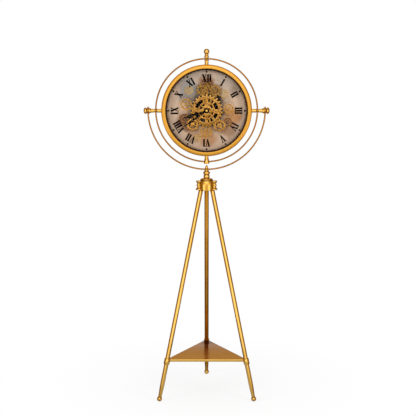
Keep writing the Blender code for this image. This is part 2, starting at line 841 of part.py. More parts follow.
def make_bell_nut():
    """The cup-shaped nut under the case; a slot across its rim lets the hoop through."""
    seat = hoop_radius + hoop_seat
    rim = seat - bell_skirt
    crown = seat + bell_crown
    bore = stud_radius + running_gap
    profile = [(0, crown)]
    profile += [(bell_radius * wide, seat + bell_crown * high) for wide, high in bell_crown_shares]
    profile += [
        (bell_radius, seat - bell_skirt / 3), (bell_rim_radius, rim), (bell_rim_radius - bell_wall, rim),
        (bell_rim_radius - bell_wall, seat), (bore, seat), (bore, seat + bell_bore_depth),
        (0, seat + bell_bore_depth),
    ]
    nut = turned("bell_nut", profile, "gold", SIDES["bottom"])
    half = rod_radius + gap
    reach = bell_radius + overrun
    slot = box(
        "bell_slot", (-reach, -half, rim - overrun), (reach, half, hoop_radius + half), None, SIDES["bottom"],
    )
    cut(nut, slot)


def make_pivots():
    """At each side a sleeve with the pivot pin, and the ball knob screwed on it."""
    seat = hoop_radius + hoop_seat
    bore = stud_radius + running_gap
    face = eye_back - gap
    pin_end = eye_front + gap + pivot_reach
    knob_foot = eye_front + gap
    for side in ("left", "right"):
        turned("side_sleeve_" + side, [
            (0, pin_end), (pivot_radius, pin_end), (pivot_radius, face), (sleeve_flare_radius, face),
            (sleeve_flare_radius, face - sleeve_flare_length),
            (stem_radius, face - sleeve_flare_length - sleeve_cone_length), (stem_radius, seat), (bore, seat),
            (bore, seat + stud_reach), (0, seat + stud_reach),
        ], "gold", SIDES[side], small_steps)
        knob_bore = pivot_radius + running_gap
        profile = []
        for i in range(bead_points):
            angle = math.pi / 2 * i / (bead_points - 1)
            drop = knob_width * knob_dome_share * (1 - math.cos(angle))
            profile.append((knob_radius * math.sin(angle), knob_foot + knob_width - drop))
        profile += [
            (knob_face_radius, knob_foot), (knob_bore, knob_foot),
            (knob_bore, knob_foot + pivot_reach + gap), (0, knob_foot + pivot_reach + gap),
        ]
        turned("knob_" + side, profile, "gold", SIDES[side])


def make_case():
    """The drum of the head with its dial ledge and rear rim, and the dished cover on its back."""
    ledge_front = dial_back - gap
    inner = case_inside_radius - ledge_width
    turned("case", [
        (case_radius, case_front), (case_radius, case_back), (inner, case_back),
        (inner, case_back + case_wall), (case_inside_radius, case_back + case_wall),
        (case_inside_radius, ledge_front - case_wall), (inner, ledge_front - case_wall),
        (inner, ledge_front), (case_inside_radius, ledge_front), (case_inside_radius, case_front),
    ], "gold", head_face, ring_steps)

    front = case_back - gap
    back = front - cover_sheet
    dish = cover_dish_depth
    cover = turned("back_cover", [
        (0, front - dish), (cover_dish_radius - dish, front - dish), (cover_dish_radius, front),
        (cover_radius, front), (cover_radius, back), (cover_dish_radius + cover_sheet / 2, back),
        (cover_dish_radius + cover_sheet / 2 - dish, back - dish), (0, back - dish),
    ], "black", head_face, ring_steps)
    half = movement_side / 2 + window_margin
    deep = back - dish - overrun
    near = front + overrun
    cut(cover, box("movement_window", (-half, -half, deep), (half, half, near), None, head_face))
    x, y = face_place(fine_distance, drive_wheel_angle)
    wide = motor_width / 2 + window_margin
    tall = motor_height / 2 + window_margin
    cut(cover, box("motor_window", (x - wide, y - tall, deep), (x + wide, y + tall, near), None, head_face))


def make_front():
    """Bezel, glass, gasket, the conical ring round the dial, and the dial plate."""
    front = bezel_forward
    outer = case_radius + bezel_overlap
    skirt_inside = case_radius + gap
    opening = bezel_opening_radius
    bevel_in = opening + bezel_flat_width
    recess = glass_radius + gap
    lip_back = front - bezel_lip_depth
    turned("bezel", [
        (opening + bezel_inner_edge, front), (bevel_in, front),
        (bevel_in + bezel_bevel_width, front - bezel_bevel_drop), (outer, front - bezel_edge_drop),
        (outer, front - bezel_skirt_length), (skirt_inside, front - bezel_skirt_length),
        (skirt_inside, glass_back), (recess, glass_back), (recess, lip_back), (opening, lip_back),
        (opening, front - bezel_inner_edge),
    ], "bezel", head_face, ring_steps)
    turned("glass", [
        (0, glass_back + glass_thickness), (glass_radius, glass_back + glass_thickness),
        (glass_radius, glass_back), (0, glass_back),
    ], "glass", head_face, ring_steps)
    gasket_front = glass_back - gap
    gasket_back = gasket_front - gasket_thickness
    turned("glass_gasket", [
        (glass_radius, gasket_front), (glass_radius, gasket_back), (glass_radius - gasket_width, gasket_back),
        (glass_radius - gasket_width, gasket_front),
    ], "rubber", head_face, ring_steps)
    ring_outer = case_inside_radius - gap
    turned("inner_ring", [
        (ring_outer, gasket_back - gap), (ring_outer, dial_front + gap),
        (inner_ring_dial_radius, dial_front + gap), (inner_ring_mouth_radius, gasket_back - gap),
    ], "shade", head_face, ring_steps)
    dial = turned("dial", [
        (0, dial_front), (case_inside_radius - 2 * gap, dial_front), (case_inside_radius - 2 * gap, dial_back),
        (0, dial_back),
    ], "dial", head_face, ring_steps)
    low, high = dial_back - overrun, dial_front + overrun
    cut(dial, cylinder("dial_centre_hole", centre_bore, low, high, None, head_face))
    place = face_place(fine_distance, drive_wheel_angle)
    hole = spindle_radius + 2 * running_gap
    cut(dial, cylinder("dial_spindle_hole", hole, low, high, None, head_face, place))


def tooth_points(teeth, module, shares, phase):
    """The outline of a toothed wheel; the middle of its first tooth is at phase."""
    pitch = math.tau / teeth
    pitch_radius = teeth * module / 2
    points = []
    for tooth in range(teeth):
        middle = phase + tooth * pitch
        flank = [(pitch_radius + depth * module, share * pitch) for depth, share in shares]
        for radius, half in flank:
            points.append((radius * math.cos(middle - half), radius * math.sin(middle - half)))
        for radius, half in reversed(flank):
            points.append((radius * math.cos(middle + half), radius * math.sin(middle + half)))
    return points


def windows(radii, count, spoke, first, points_each):
    """Curved windows between two radii, parted by spokes of one width; first is a spoke's angle."""
    loops = []
    inner, outer = radii
    for i in range(count):
        start = first + i * math.tau / count
        end = start + math.tau / count
        inner_trim = spoke / 2 / inner
        outer_trim = spoke / 2 / outer
        loop = arc(outer, start + outer_trim, end - outer_trim, points_each)
        loop += arc(inner, end - inner_trim, start + inner_trim, points_each)
        loops.append(loop)
    return loops


def mesh_phase(angle, phase, teeth, other_teeth):
    """The first tooth's angle on a wheel that meshes, at this angle, with one that has this phase."""
    return angle + math.pi + (teeth * (angle - phase) - math.pi) / other_teeth


fine_distance = (fine_wheel_teeth + side_wheel_teeth) * fine_module / 2
left_pinion_distance = (coarse_wheel_teeth + left_pinion_teeth) * coarse_module / 2
right_pinion_distance = (coarse_wheel_teeth + right_pinion_teeth) * coarse_module / 2
TWELVE = math.pi / 2


def make_main_wheels():
    """Two wheels on the centre tube: coarse teeth behind, fine teeth in front, both cut out."""
    bore = circle(centre_tube_radius + running_gap, turned_steps)
    fine = [tooth_points(fine_wheel_teeth, fine_module, fine_tooth_shares, TWELVE), bore]
    fine += windows(outer_window_radii, main_windows, spoke_width, TWELVE + outer_window_turn, window_points)
    fine += windows(
        inner_window_radii, main_windows, spoke_width, TWELVE + inner_window_turn, narrow_window_points,
    )
    flat_piece("main_wheel", fine, wheel_thickness, "brass", head_face, fine_back)
    coarse = [tooth_points(coarse_wheel_teeth, coarse_module, coarse_tooth_shares, TWELVE), bore]
    coarse += windows(coarse_window_radii, coarse_windows, wide_spoke_width, TWELVE, wide_window_points)
    # It is pinned to the fine wheel: a low rim on its face nearly closes the space between them
    wheel = flat_piece("coarse_wheel", coarse, wheel_thickness, "brass", head_face, coarse_back)
    front = coarse_back + wheel_thickness
    rim_outer = inner_window_radii[0] - spoke_width / 2
    rim = turned("coarse_wheel_rim", [
        (rim_outer, fine_back - gap), (rim_outer, front - wheel_thickness / 2),
        (centre_tube_radius + 2 * running_gap, front - wheel_thickness / 2),
        (centre_tube_radius + 2 * running_gap, fine_back - gap),
    ], None, head_face)
    join(wheel, rim)


def make_side_wheels():
    """Four wheels that the main ones turn: two fine below, two coarse above."""
    for name, clock_angle in (("drive_wheel", drive_wheel_angle), ("idler_wheel", idler_angle)):
        angle = TWELVE - clock_angle
        phase = mesh_phase(angle, TWELVE, fine_wheel_teeth, side_wheel_teeth)
        loops = [tooth_points(side_wheel_teeth, fine_module, fine_tooth_shares, phase)]
        loops += windows(side_window_radii, side_windows, thin_spoke_width, angle, window_points)
        if name == "idler_wheel":
            loops.append(circle(post_radius + running_gap, tiny_steps))
        place = face_place(fine_distance, clock_angle)
        wheel = flat_piece(name, loops, wheel_thickness, "brass", head_face, fine_back, place)
        if name == "drive_wheel":
            half = fine_back + wheel_thickness / 2
            spindle_end = movement_front - spindle_reach
            spindle = turned("drive_spindle", [
                (0, half + wheel_thickness), (post_head_radius, half + wheel_thickness),
                (post_head_radius, coarse_back), (spindle_radius, coarse_back),
                (spindle_radius, spindle_end), (0, spindle_end),
            ], None, head_face, tiny_steps, (*place, 0))
            join(wheel, spindle)
    pinions = (
        ("left_pinion", left_pinion_teeth, left_pinion_distance, left_pinion_angle, left_pinion_windows),
        ("right_pinion", right_pinion_teeth, right_pinion_distance, right_pinion_angle, right_pinion_windows),
    )
    for name, teeth, distance, clock_angle, count in pinions:
        angle = TWELVE - clock_angle
        phase = mesh_phase(angle, TWELVE, coarse_wheel_teeth, teeth)
        loops = [tooth_points(teeth, coarse_module, coarse_tooth_shares, phase)]
        loops.append(circle(post_radius + running_gap, tiny_steps))
        loops += windows(pinion_window_radii, count, thin_spoke_width, angle, narrow_window_points)
        place = face_place(distance, clock_angle)
        flat_piece(name, loops, wheel_thickness, "brass", head_face, coarse_back, place)


def add_post(carrier, name, place, back, thickness=wheel_thickness):
    """A riveted post on the carrier: a foot under what it holds, and a head over it."""
    head_back = back + thickness + gap
    root = carrier_front - carrier_thickness / 2
    post = turned("post_" + name, [
        (0, head_back + post_head_height), (post_head_radius, head_back + post_head_height),
        (post_head_radius, head_back), (post_radius, head_back), (post_radius, back - gap),
        (post_foot_radius, back - gap), (post_foot_radius, root), (0, root),
    ], None, head_face, tiny_steps, (*place, 0))
    join(carrier, post)


def make_carrier():
    """The plate on the dial that carries the arbors, and the bridge over the upper pinions."""
    bridge_post = Vector(bridge_place)
    arms = sorted([
        (TWELVE - drive_wheel_angle, fine_distance), (TWELVE - idler_angle, fine_distance),
        (TWELVE - left_pinion_angle, left_pinion_distance),
        (TWELVE - right_pinion_angle, right_pinion_distance),
        (math.atan2(bridge_post.y, bridge_post.x), bridge_post.length),
    ])
    outline = []
    half = carrier_arm_width / 2
    spread = math.asin(half / carrier_disc_radius)
    pad_spread = math.asin(half / carrier_pad_radius)
    for angle, distance in arms:
        centre = (distance * math.cos(angle), distance * math.sin(angle))
        outline += arc(carrier_disc_radius, angle - spread, angle - spread, 1)
        first, last = angle - math.pi + pad_spread, angle + math.pi - pad_spread
        outline += arc(carrier_pad_radius, first, last, ball_points, centre)
        outline += arc(carrier_disc_radius, angle + spread, angle + spread, 1)
    drive_place = face_place(fine_distance, drive_wheel_angle)
    loops = [
        outline, circle(centre_bore, turned_steps),
        circle(spindle_radius + 2 * running_gap, small_steps, drive_place),
    ]
    carrier = flat_piece("gear_carrier", loops, carrier_thickness, "brass", head_face, dial_front + gap)
    tube_inside = centre_bore + running_gap / 2
    tube = turned("centre_tube", [
        (centre_tube_radius, fine_front + layer_gap - gap),
        (centre_tube_radius, carrier_front - carrier_thickness / 2),
        (tube_inside, carrier_front - carrier_thickness / 2), (tube_inside, fine_front + layer_gap - gap),
    ], None, head_face)
    join(carrier, tube)
    add_post(carrier, "idler", face_place(fine_distance, idler_angle), fine_back)
    add_post(carrier, "left", face_place(left_pinion_distance, left_pinion_angle), coarse_back)
    add_post(carrier, "right", face_place(right_pinion_distance, right_pinion_angle), coarse_back)
    add_post(carrier, "bridge", bridge_place, bridge_back, bridge_thickness)


def make_bridge():
    """A flat fork over the upper pinions, riveted to the carrier's top post."""
    post = Vector(bridge_place)
    outline = []
    swing = math.acos(bridge_width / 2 / bridge_pad_radius)
    for foot in (Vector(bridge_feet[0]), Vector(bridge_feet[1])):
        outline.append((foot, math.atan2(foot.y - post.y, foot.x - post.x)))
    (left, left_along), (right, right_along) = outline
    loop = arc(bridge_pad_radius, right_along + swing, left_along + math.tau - swing, ball_points, post)
    half = bridge_width / 2
    loop += arc(half, left_along - math.pi / 2, left_along + math.pi / 2, tip_points, left)
    fork = post + Vector((0, -bridge_pad_radius))
    loop += [tuple(fork)]
    loop += arc(half, right_along - math.pi / 2, right_along + math.pi / 2, tip_points, right)
    hole = circle(post_radius + running_gap, tiny_steps, bridge_place)
    flat_piece("gear_bridge", [loop, hole], bridge_thickness, "brass", head_face, bridge_back)


def make_centre_nut():
    """The six-sided nut that holds carrier, dial and movement together."""
    hexagon = circle(nut_radius, nut_sides)
    hole = circle(bush_radius + running_gap, turned_steps)
    flat_piece("centre_nut", [hexagon, hole], nut_thickness, "steel", head_face, nut_back)


def blade_outline(shares, length, half_width, clock_angle):
    """A hand's outline from stations along it, turned to its clock angle."""
    ahead = Vector(face_place(1, clock_angle))
    across = Vector((ahead.y, -ahead.x))
    right = [ahead * (along * length) + across * (wide * half_width) for along, wide in shares]
    left = [ahead * (along * length) - across * (wide * half_width) for along, wide in reversed(shares)]
    return [tuple(point) for point in right + left]


def make_hands():
    """Hour and minute hand on nested tubes, the second hand on a pin inside them."""
    hands = (
        ("hour_hand", hour_blade_shares, hour_leaf_shares, hour_length, hour_half_width, hour_angle,
         hour_back, hour_tube_radius, hour_hub_radius),
        ("minute_hand", minute_blade_shares, minute_leaf_shares, minute_length, minute_half_width,
         minute_angle, minute_back, minute_tube_radius, minute_hub_radius),
    )
    for name, shares, leaf, length, half_width, angle, back, tube, hub in hands:
        loops = [
            blade_outline(shares, length, half_width, angle), blade_outline(leaf, length, half_width, angle),
        ]
        hand = flat_piece(name, loops, hand_thickness, "black", head_face, back)
        bore = tube - tube_wall
        front = back + hand_thickness + hub_proud
        ring = [
            (hub, front), (hub, back - hub_proud), (tube, back - hub_proud), (tube, tube_end),
            (bore, tube_end), (bore, front),
        ]
        cut(hand, cylinder(name + "_clear", hub - hub_proud, back - overrun, front + overrun, None, head_face))
        join(hand, turned(name + "_hub", ring, None, head_face, small_steps))
    hand = flat_piece(
        "second_hand", [blade_outline(second_blade_shares, second_length, second_half_width, second_angle)],
        second_thickness, "black", head_face, second_back,
    )
    front = second_back + second_thickness + cap_height
    cap = turned("second_hub", [
        (0, front), (second_hub_radius - hub_edge, front), (second_hub_radius, front - cap_height / 2),
        (second_hub_radius, second_back - hub_proud), (second_pin_radius, second_back - hub_proud),
        (second_pin_radius, tube_end), (0, tube_end),
    ], None, head_face, small_steps)
    join(hand, cap)


def make_movement():
    """Quartz movement with its bush, its battery and the knob that sets the time."""
    half = movement_side / 2
    back = movement_front - movement_depth
    movement = box(
        "movement", (-half, -half, back), (half, half, movement_front), "black", head_face, movement_edge,
    )
    bush = turned("movement_bush", [
        (bush_radius, nut_back + nut_thickness), (bush_radius, movement_front - movement_edge),
        (bush_bore, movement_front - movement_edge), (bush_bore, nut_back + nut_thickness),
    ], None, head_face)
    well = movement_front - tube_stop - layer_gap
    cut(movement, cylinder("tube_well", bush_bore + hub_proud, well, nut_back, None, head_face))
    join(movement, bush)
    bay_radius = battery_radius + gap
    bay_half = battery_length / 2 + battery_nub_length + 2 * gap
    bay = box(
        "battery_bay", (-bay_half, -battery_offset - bay_radius, back - overrun),
        (bay_half, -battery_offset + bay_radius, back + battery_sink), None, head_face,
    )
    cut(movement, bay)
    x, y = setting_knob_place
    pin_bore = setting_pin_radius + running_gap
    pin_end = back + setting_pin_length
    cut(movement, cylinder("setting_bore", pin_bore, back - overrun, pin_end + gap, None, head_face, (x, y)))
    battery_forward = back + battery_sink - gap - battery_radius
    make_battery("movement_battery", (0, -battery_offset, battery_forward), (0, math.pi / 2, 0))
    knob_back = back - gap - setting_knob_height
    turned("setting_knob", [
        (0, pin_end), (setting_pin_radius, pin_end), (setting_pin_radius, back - gap),
        (setting_knob_radius, back - gap), (setting_knob_radius, knob_back + movement_edge / 2),
        (setting_knob_radius - movement_edge / 2, knob_back), (0, knob_back),
    ], "black", head_face, small_steps, (x, y, 0))


def make_battery(name, place, rotation):
    """A round cell with its contact nub, lying along the turned local Z axis."""
    half = battery_length / 2
    cell = turned(name, [
        (0, half + battery_nub_length), (battery_nub_radius, half + battery_nub_length),
        (battery_nub_radius, half), (battery_radius, half), (battery_radius, -half), (0, -half),
    ], "battery", head_face, small_steps, place)
    cell.rotation_euler = rotation


def make_motor():
    """The gear motor behind the driving wheel, with its own battery."""
    x, y = face_place(fine_distance, drive_wheel_angle)
    back = movement_front - motor_depth
    low = (x - motor_width / 2, y - motor_height / 2, back)
    high = (x + motor_width / 2, y + motor_height / 2, movement_front)
    motor = box("gear_motor", low, high, "black", head_face, movement_edge)
    bore = spindle_radius + running_gap
    end = movement_front - spindle_reach - gap
    cut(motor, cylinder("motor_bore", bore, end, movement_front + overrun, None, head_face, (x, y)))
    bay_radius = battery_radius + gap
    bay_half = battery_length / 2 + battery_nub_length + 2 * gap
    middle = x - motor_battery_offset
    bay = box(
        "motor_bay", (middle - bay_radius, y - bay_half, back - overrun),
        (middle + bay_radius, y + bay_half, back + battery_sink), None, head_face,
    )
    cut(motor, bay)
    forward = back + battery_sink - gap - battery_radius
    make_battery("motor_battery", (middle, y, forward), (math.pi / 2, 0, 0))


def shade_pieces():
    """Replace each piece by its evaluated mesh, shaded smooth with sharp corners."""
    bpy.context.view_layer.update()
    depsgraph = bpy.context.evaluated_depsgraph_get()
    made = []
    for piece in parts.objects:
        made.append((piece, bpy.data.meshes.new_from_object(piece.evaluated_get(depsgraph))))
    for piece, mesh in made:
        piece.modifiers.clear()
        piece.data = mesh
        mesh.shade_smooth()
        mesh.set_sharp_from_angle(angle=smooth_angle)


for side in LEGS:
    make_leg(side)
    make_clamp(side)
make_shelf()
make_hub()
make_hub_cap()
make_spire()
make_yoke()
make_hoop()
make_stems()
make_finial()
make_bell_nut()
make_pivots()
make_case()
make_front()
make_main_wheels()
make_side_wheels()
make_carrier()
make_bridge()
make_centre_nut()
make_hands()
make_movement()
make_motor()
shade_pieces()
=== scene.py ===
# %% [markdown]
# A tripod floor clock: a round head with open gears, a ring round it, and a half ring on a
# three-legged stand that it tilts in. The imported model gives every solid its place, and this
# lesson dresses it: smooth turned pieces, real finishes, the printed dial and the small hardware.
# The frame is loaded first, and nothing is moved away from it later.

# %% Load the frame
import json
import math

import bmesh
import bpy
from mathutils import Matrix, Vector


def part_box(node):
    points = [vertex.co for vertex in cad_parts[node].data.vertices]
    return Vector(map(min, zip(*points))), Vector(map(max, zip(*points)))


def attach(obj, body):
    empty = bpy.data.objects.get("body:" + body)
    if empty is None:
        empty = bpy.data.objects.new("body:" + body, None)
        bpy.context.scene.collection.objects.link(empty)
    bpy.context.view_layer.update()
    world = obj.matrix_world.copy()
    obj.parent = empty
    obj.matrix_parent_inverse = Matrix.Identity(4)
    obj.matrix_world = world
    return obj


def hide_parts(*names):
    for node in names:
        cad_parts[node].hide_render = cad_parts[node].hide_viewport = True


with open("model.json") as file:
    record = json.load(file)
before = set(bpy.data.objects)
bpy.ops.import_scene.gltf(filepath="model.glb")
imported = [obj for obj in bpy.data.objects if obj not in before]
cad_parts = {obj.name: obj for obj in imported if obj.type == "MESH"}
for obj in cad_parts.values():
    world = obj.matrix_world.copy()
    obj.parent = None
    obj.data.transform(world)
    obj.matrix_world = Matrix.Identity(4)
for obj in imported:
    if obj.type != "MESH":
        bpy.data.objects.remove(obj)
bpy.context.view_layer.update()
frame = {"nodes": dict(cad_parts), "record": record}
mm = 0.001
slots = {row["node"]: row["material_slot"] for row in frame["record"]["subparts"]}
body_of = {node: body for body, nodes in frame["record"]["behaviour"]["bodies"].items() for node in nodes}
print("nodes:", len(frame["nodes"]))

# %% [markdown]
# The head's pieces share one centre, the tilt axis, and distances towards the viewer are
# measured from it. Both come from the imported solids: the knobs give the axis's height, and the
# hoop, which lies in the plane of the axis, gives its depth.

# %% Find the head's centre
knob_low, knob_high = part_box("knob_right")
hoop_low, hoop_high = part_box("hoop")
axis_z = (knob_low.z + knob_high.z) / 2
axis_y = (hoop_low.y + hoop_high.y) / 2
CENTRE = Vector((0, axis_y, axis_z))
X_AXIS, Z_AXIS, FORWARD = Vector((1, 0, 0)), Vector((0, 0, 1)), Vector((0, -1, 0))


def forward_of(node):
    """How far a node's back and front stand forward of the tilt axis."""
    low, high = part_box(node)
    return axis_y - high.y, axis_y - low.y


print("tilt axis at", [round(v, 4) for v in CENTRE])
print("dial", forward_of("dial"), "bezel", forward_of("bezel"))

# %% [markdown]
# The camera stands where the photograph was taken from: a little above the dial's height and
# looking slightly down. A small vertical shift keeps the uprights from leaning together.

# %% Camera
IMAGE_SIDE = 416
camera_distance = 3.4597  # in front of the tilt axis
camera_height = 1.2978
camera_pitch = 0.17043
focal_pixels = 808.9
principal_x, principal_y = 206.6, 237.0


def place_object(name, data):
    """A new object of the scene."""
    item = bpy.data.objects.new(name, data)
    bpy.context.scene.collection.objects.link(item)
    return item


camera_data = bpy.data.cameras.new("photo_camera")
camera = place_object("photo_camera", camera_data)
camera.location = (0, axis_y - camera_distance, camera_height)
camera.rotation_euler = (math.pi / 2 - camera_pitch, 0, 0)
camera_data.sensor_width = 36
camera_data.lens = focal_pixels / IMAGE_SIDE * camera_data.sensor_width
camera_data.shift_x = (IMAGE_SIDE / 2 - principal_x) / IMAGE_SIDE
camera_data.shift_y = (principal_y - IMAGE_SIDE / 2) / IMAGE_SIDE
camera_data.clip_start = 0.05
camera_data.clip_end = 60
bpy.context.scene.camera = camera
print("lens", round(camera_data.lens, 1), "mm, shift", round(camera_data.shift_y, 3))

# %% [markdown]
# Every finish is built from nodes. One function turns a written colour into a linear one, one
# fills a node's inputs, and one adds a node with its settings and its links, so each material
# below reads as a list of what it is made of.

# %% Node helpers
SMOOTH = {"interpolation_type": "SMOOTHSTEP"}
WHITE = (1, 1, 1, 1)


def linear(hex_colour):
    """An sRGB hex colour as a linear RGBA value."""
    channels = [int(hex_colour[start:start + 2], 16) / 255 for start in (0, 2, 4)]
    return (*(v / 12.92 if v <= 0.04045 else ((v + 0.055) / 1.055) ** 2.4 for v in channels), 1.0)


def feed(node, *values, **named):
    """Fill the inputs that a node shows, in order, and others by name, each with a value or a link."""
    pairs = list(zip((socket for socket in node.inputs if socket.enabled), values))
    pairs += [(node.inputs[name.replace("_", " ")], value) for name, value in named.items()]
    for socket, value in pairs:
        if isinstance(value, bpy.types.NodeSocket):
            node.id_data.links.new(value, socket)
        else:
            socket.default_value = value


def add_node(tree, kind, *values, stops=(), out=None, **options):
    """Add a node and return an output socket; a word after the kind is the node's operation.

    Options that start with a small letter are settings, and those with a capital are inputs.
    """
    kind, _, operation = kind.partition(" ")
    node = tree.nodes.new(kind if "Node" in kind else "ShaderNode" + kind)
    if operation:
        node.operation = operation
    for name, value in options.items():
        if name[0].islower():
            setattr(node, name, value)
    for i, (position, colour) in enumerate(stops):
        ramp = node.color_ramp.elements
        element = ramp[i] if i < 2 else ramp.new(1.0)
        element.position = position
        element.color = linear(colour) if isinstance(colour, str) else (colour, colour, colour, 1.0)
    feed(node, *values, **{name: value for name, value in options.items() if name[0].isupper()})
    outputs = [socket for socket in node.outputs if socket.enabled and out in (None, socket.name)]
    return outputs[0] if outputs else None


def new_material(name):
    """A material with its tree and its Principled shader."""
    material = bpy.data.materials.new(name)
    material.use_nodes = True
    tree = material.node_tree
    return material, tree, tree.nodes["Principled BSDF"]


print("a written mid grey is", round(linear("808080")[0], 3), "in linear light")

# %% [markdown]
# The floor is plain white paper and fades into a white backdrop, as in a photo studio. Close to
# the feet it is real paper that takes their soft shadows; further out it turns into plain white.
# The metal mirrors it darker near the feet, and warm and dark at the two flanks.

# %% Floor
floor_radius, floor_sides, floor_drop = 2.6, 96, 0.2 * mm
white_from, white_to, least_white = 0.15, 0.95, 0.82  # between these distances the paper turns plain
shade_from, shade_to, shade_depth = 0.4, 2.4, 0.5  # what the metal sees is darker near the feet
flank_front, flank_full, flank_end, flank_back = (math.radians(a) for a in (26, 62, 160, 174))
flank_tone = (0.42, 0.26, 0.08, 1)


def circle(radius, middle=(0, 0), steps=96):
    """A round outline."""
    turns = [math.tau * step / steps for step in range(steps)]
    return [(middle[0] + radius * math.cos(t), middle[1] + radius * math.sin(t)) for t in turns]


floor_mesh = bpy.data.meshes.new("studio_floor")
rim = [(x, y, 0) for x, y in circle(floor_radius, steps=floor_sides)]
floor_mesh.from_pydata(rim, [], [list(range(floor_sides))])
studio_floor = place_object("studio_floor", floor_mesh)
studio_floor.location.z = -floor_drop

floor_paper, tree, shader = new_material("matte_white_paper_sweep")
place = add_node(tree, "TexCoord", out="Object")
fibres = add_node(tree, "TexNoise", place, 400, 3.0)
paper = add_node(tree, "ValToRGB", fibres, stops=((0.0, "F6F6F6"), (1.0, "FAFAFA")))
feed(shader, Base_Color=paper, Roughness=0.95, Specular_IOR_Level=0.1)
distance = add_node(tree, "VectorMath LENGTH", place)
path = add_node(tree, "LightPath").node.outputs
glossy = path["Is Glossy Ray"]
watching = add_node(tree, "Math MAXIMUM", path["Is Camera Ray"], path["Is Transmission Ray"])
watching = add_node(tree, "Math MAXIMUM", watching, glossy)
whiter = add_node(tree, "MapRange", distance, white_from, white_to, least_white, 1.0, **SMOOTH)
shaded = add_node(tree, "MapRange", distance, shade_from, shade_to, shade_depth, 0.0, **SMOOTH)
shaded = add_node(tree, "Math MULTIPLY", shaded, glossy)
glow = add_node(tree, "Math SUBTRACT", 1.0, shaded)
spot = add_node(tree, "SeparateXYZ", place).node.outputs
ahead = add_node(tree, "Math MULTIPLY", spot["Y"], -1.0)
aside = add_node(tree, "Math ARCTAN2", spot["X"], ahead)
aside = add_node(tree, "Math ABSOLUTE", aside)
flanks = add_node(
    tree, "Math MULTIPLY", add_node(tree, "MapRange", aside, flank_front, flank_full, **SMOOTH),
    add_node(tree, "MapRange", aside, flank_back, flank_end, **SMOOTH))
flanks = add_node(tree, "Math MULTIPLY", flanks, glossy)
paper_tone = add_node(tree, "Mix", flanks, WHITE, flank_tone, data_type="RGBA")
plain_white = add_node(tree, "Emission", paper_tone, glow)
amount = add_node(tree, "Math MULTIPLY", whiter, watching)
faded = add_node(tree, "MixShader", amount, shader.outputs[0], plain_white)
feed(tree.nodes["Material Output"], Surface=faded)
floor_mesh.materials.append(floor_paper)
print("floor", floor_radius * 2, "m across")

# %% [markdown]
# The world is the white backdrop to the camera and through the glass. What the metal mirrors is a
# studio too: a broad panel straight ahead, from just under the horizon to about 45 degrees up, two
# strips under the horizon at about 45 degrees to each side, the backdrop far behind, and warm
# dark walls between them, because polished gold without anything dark to mirror looks like flat
# paint. Legs and stems lean so that they meet the panel, and show one bright line. The hub's drum
# looks under it, and shows the strips.

# %% Room
panel_band, strip_bands, warm_band = (0, 24, 22), ((45, 19, 7), (-43, 17, 7)), (0, 40, 36)
panel_foot, panel_head, strip_head = (-0.035, 0.0), (0.80, 0.62), (-0.035, -0.055)  # sines of heights
backdrop_edge, backdrop_full = math.radians(26), math.radians(12)  # from straight behind
light_level, plain_level = 1.6, 0.62
wall_dark, wall_warm = (0.31, 0.19, 0.055, 1), (0.80, 0.64, 0.35, 1)

room = bpy.data.worlds.new("white_room")
bpy.context.scene.world = room
room.use_nodes = True
tree = room.node_tree
tree.nodes.clear()
path = add_node(tree, "LightPath").node.outputs
direction = add_node(tree, "TexCoord", out="Generated")
axes = add_node(tree, "SeparateXYZ", direction).node.outputs
ahead = add_node(tree, "Math MULTIPLY", axes["Y"], -1.0)
bearing = add_node(tree, "Math ARCTAN2", axes["X"], ahead)
behind = add_node(tree, "Math ARCTAN2", axes["X"], axes["Y"])
height = axes["Z"]


def band(centre, half, soft):
    """1 within half of a bearing, 0 beyond half + soft, all in degrees; plus is to the right."""
    away = add_node(tree, "Math SUBTRACT", bearing, math.radians(centre))
    away = add_node(tree, "Math ABSOLUTE", away)
    return add_node(tree, "MapRange", away, math.radians(half + soft), math.radians(half), **SMOOTH)


upright = add_node(
    tree, "Math MULTIPLY", add_node(tree, "MapRange", height, *panel_foot, **SMOOTH),
    add_node(tree, "MapRange", height, *panel_head, **SMOOTH))
panel = add_node(tree, "Math MULTIPLY", band(*panel_band), upright)
strips = add_node(tree, "Math MAXIMUM", *(band(*strip) for strip in strip_bands))
low_down = add_node(tree, "MapRange", height, *strip_head, **SMOOTH)
strips = add_node(tree, "Math MULTIPLY", strips, low_down)
behind = add_node(tree, "Math ABSOLUTE", behind)
backdrop = add_node(tree, "MapRange", behind, backdrop_edge, backdrop_full, **SMOOTH)
lights = add_node(tree, "Math MAXIMUM", panel, strips)
lights = add_node(tree, "Math MULTIPLY", lights, light_level)
lights = add_node(tree, "Math MAXIMUM", lights, backdrop)
walls = add_node(tree, "Mix", band(*warm_band), wall_dark, wall_warm, data_type="RGBA")
lit = add_node(tree, "CombineXYZ", lights, lights, lights)
mirrored = add_node(tree, "VectorMath MAXIMUM", lit, walls)
white_ray = add_node(tree, "Math MAXIMUM", path["Is Camera Ray"], path["Is Transmission Ray"])
plain_grey = (plain_level, plain_level, plain_level, 1)
diffuse = add_node(tree, "Mix", white_ray, plain_grey, WHITE, data_type="RGBA")
seen = add_node(tree, "Mix", path["Is Glossy Ray"], diffuse, mirrored, data_type="RGBA")
add_node(tree, "OutputWorld", add_node(tree, "Background", seen, 1.0))
bpy.context.scene.view_settings.view_transform = "Standard"
print("room of", len(tree.nodes), "nodes")

# %% [markdown]
# Two tall soft boxes stand in front at left and right. They light what is matte, and give the feet
# their soft shadows.

# %% Soft boxes
box_distance, box_height, box_size = 2.6, 1.7, (1.0, 2.4)
box_aim = Vector((0, axis_y, 0.85))
box_power = 34.0

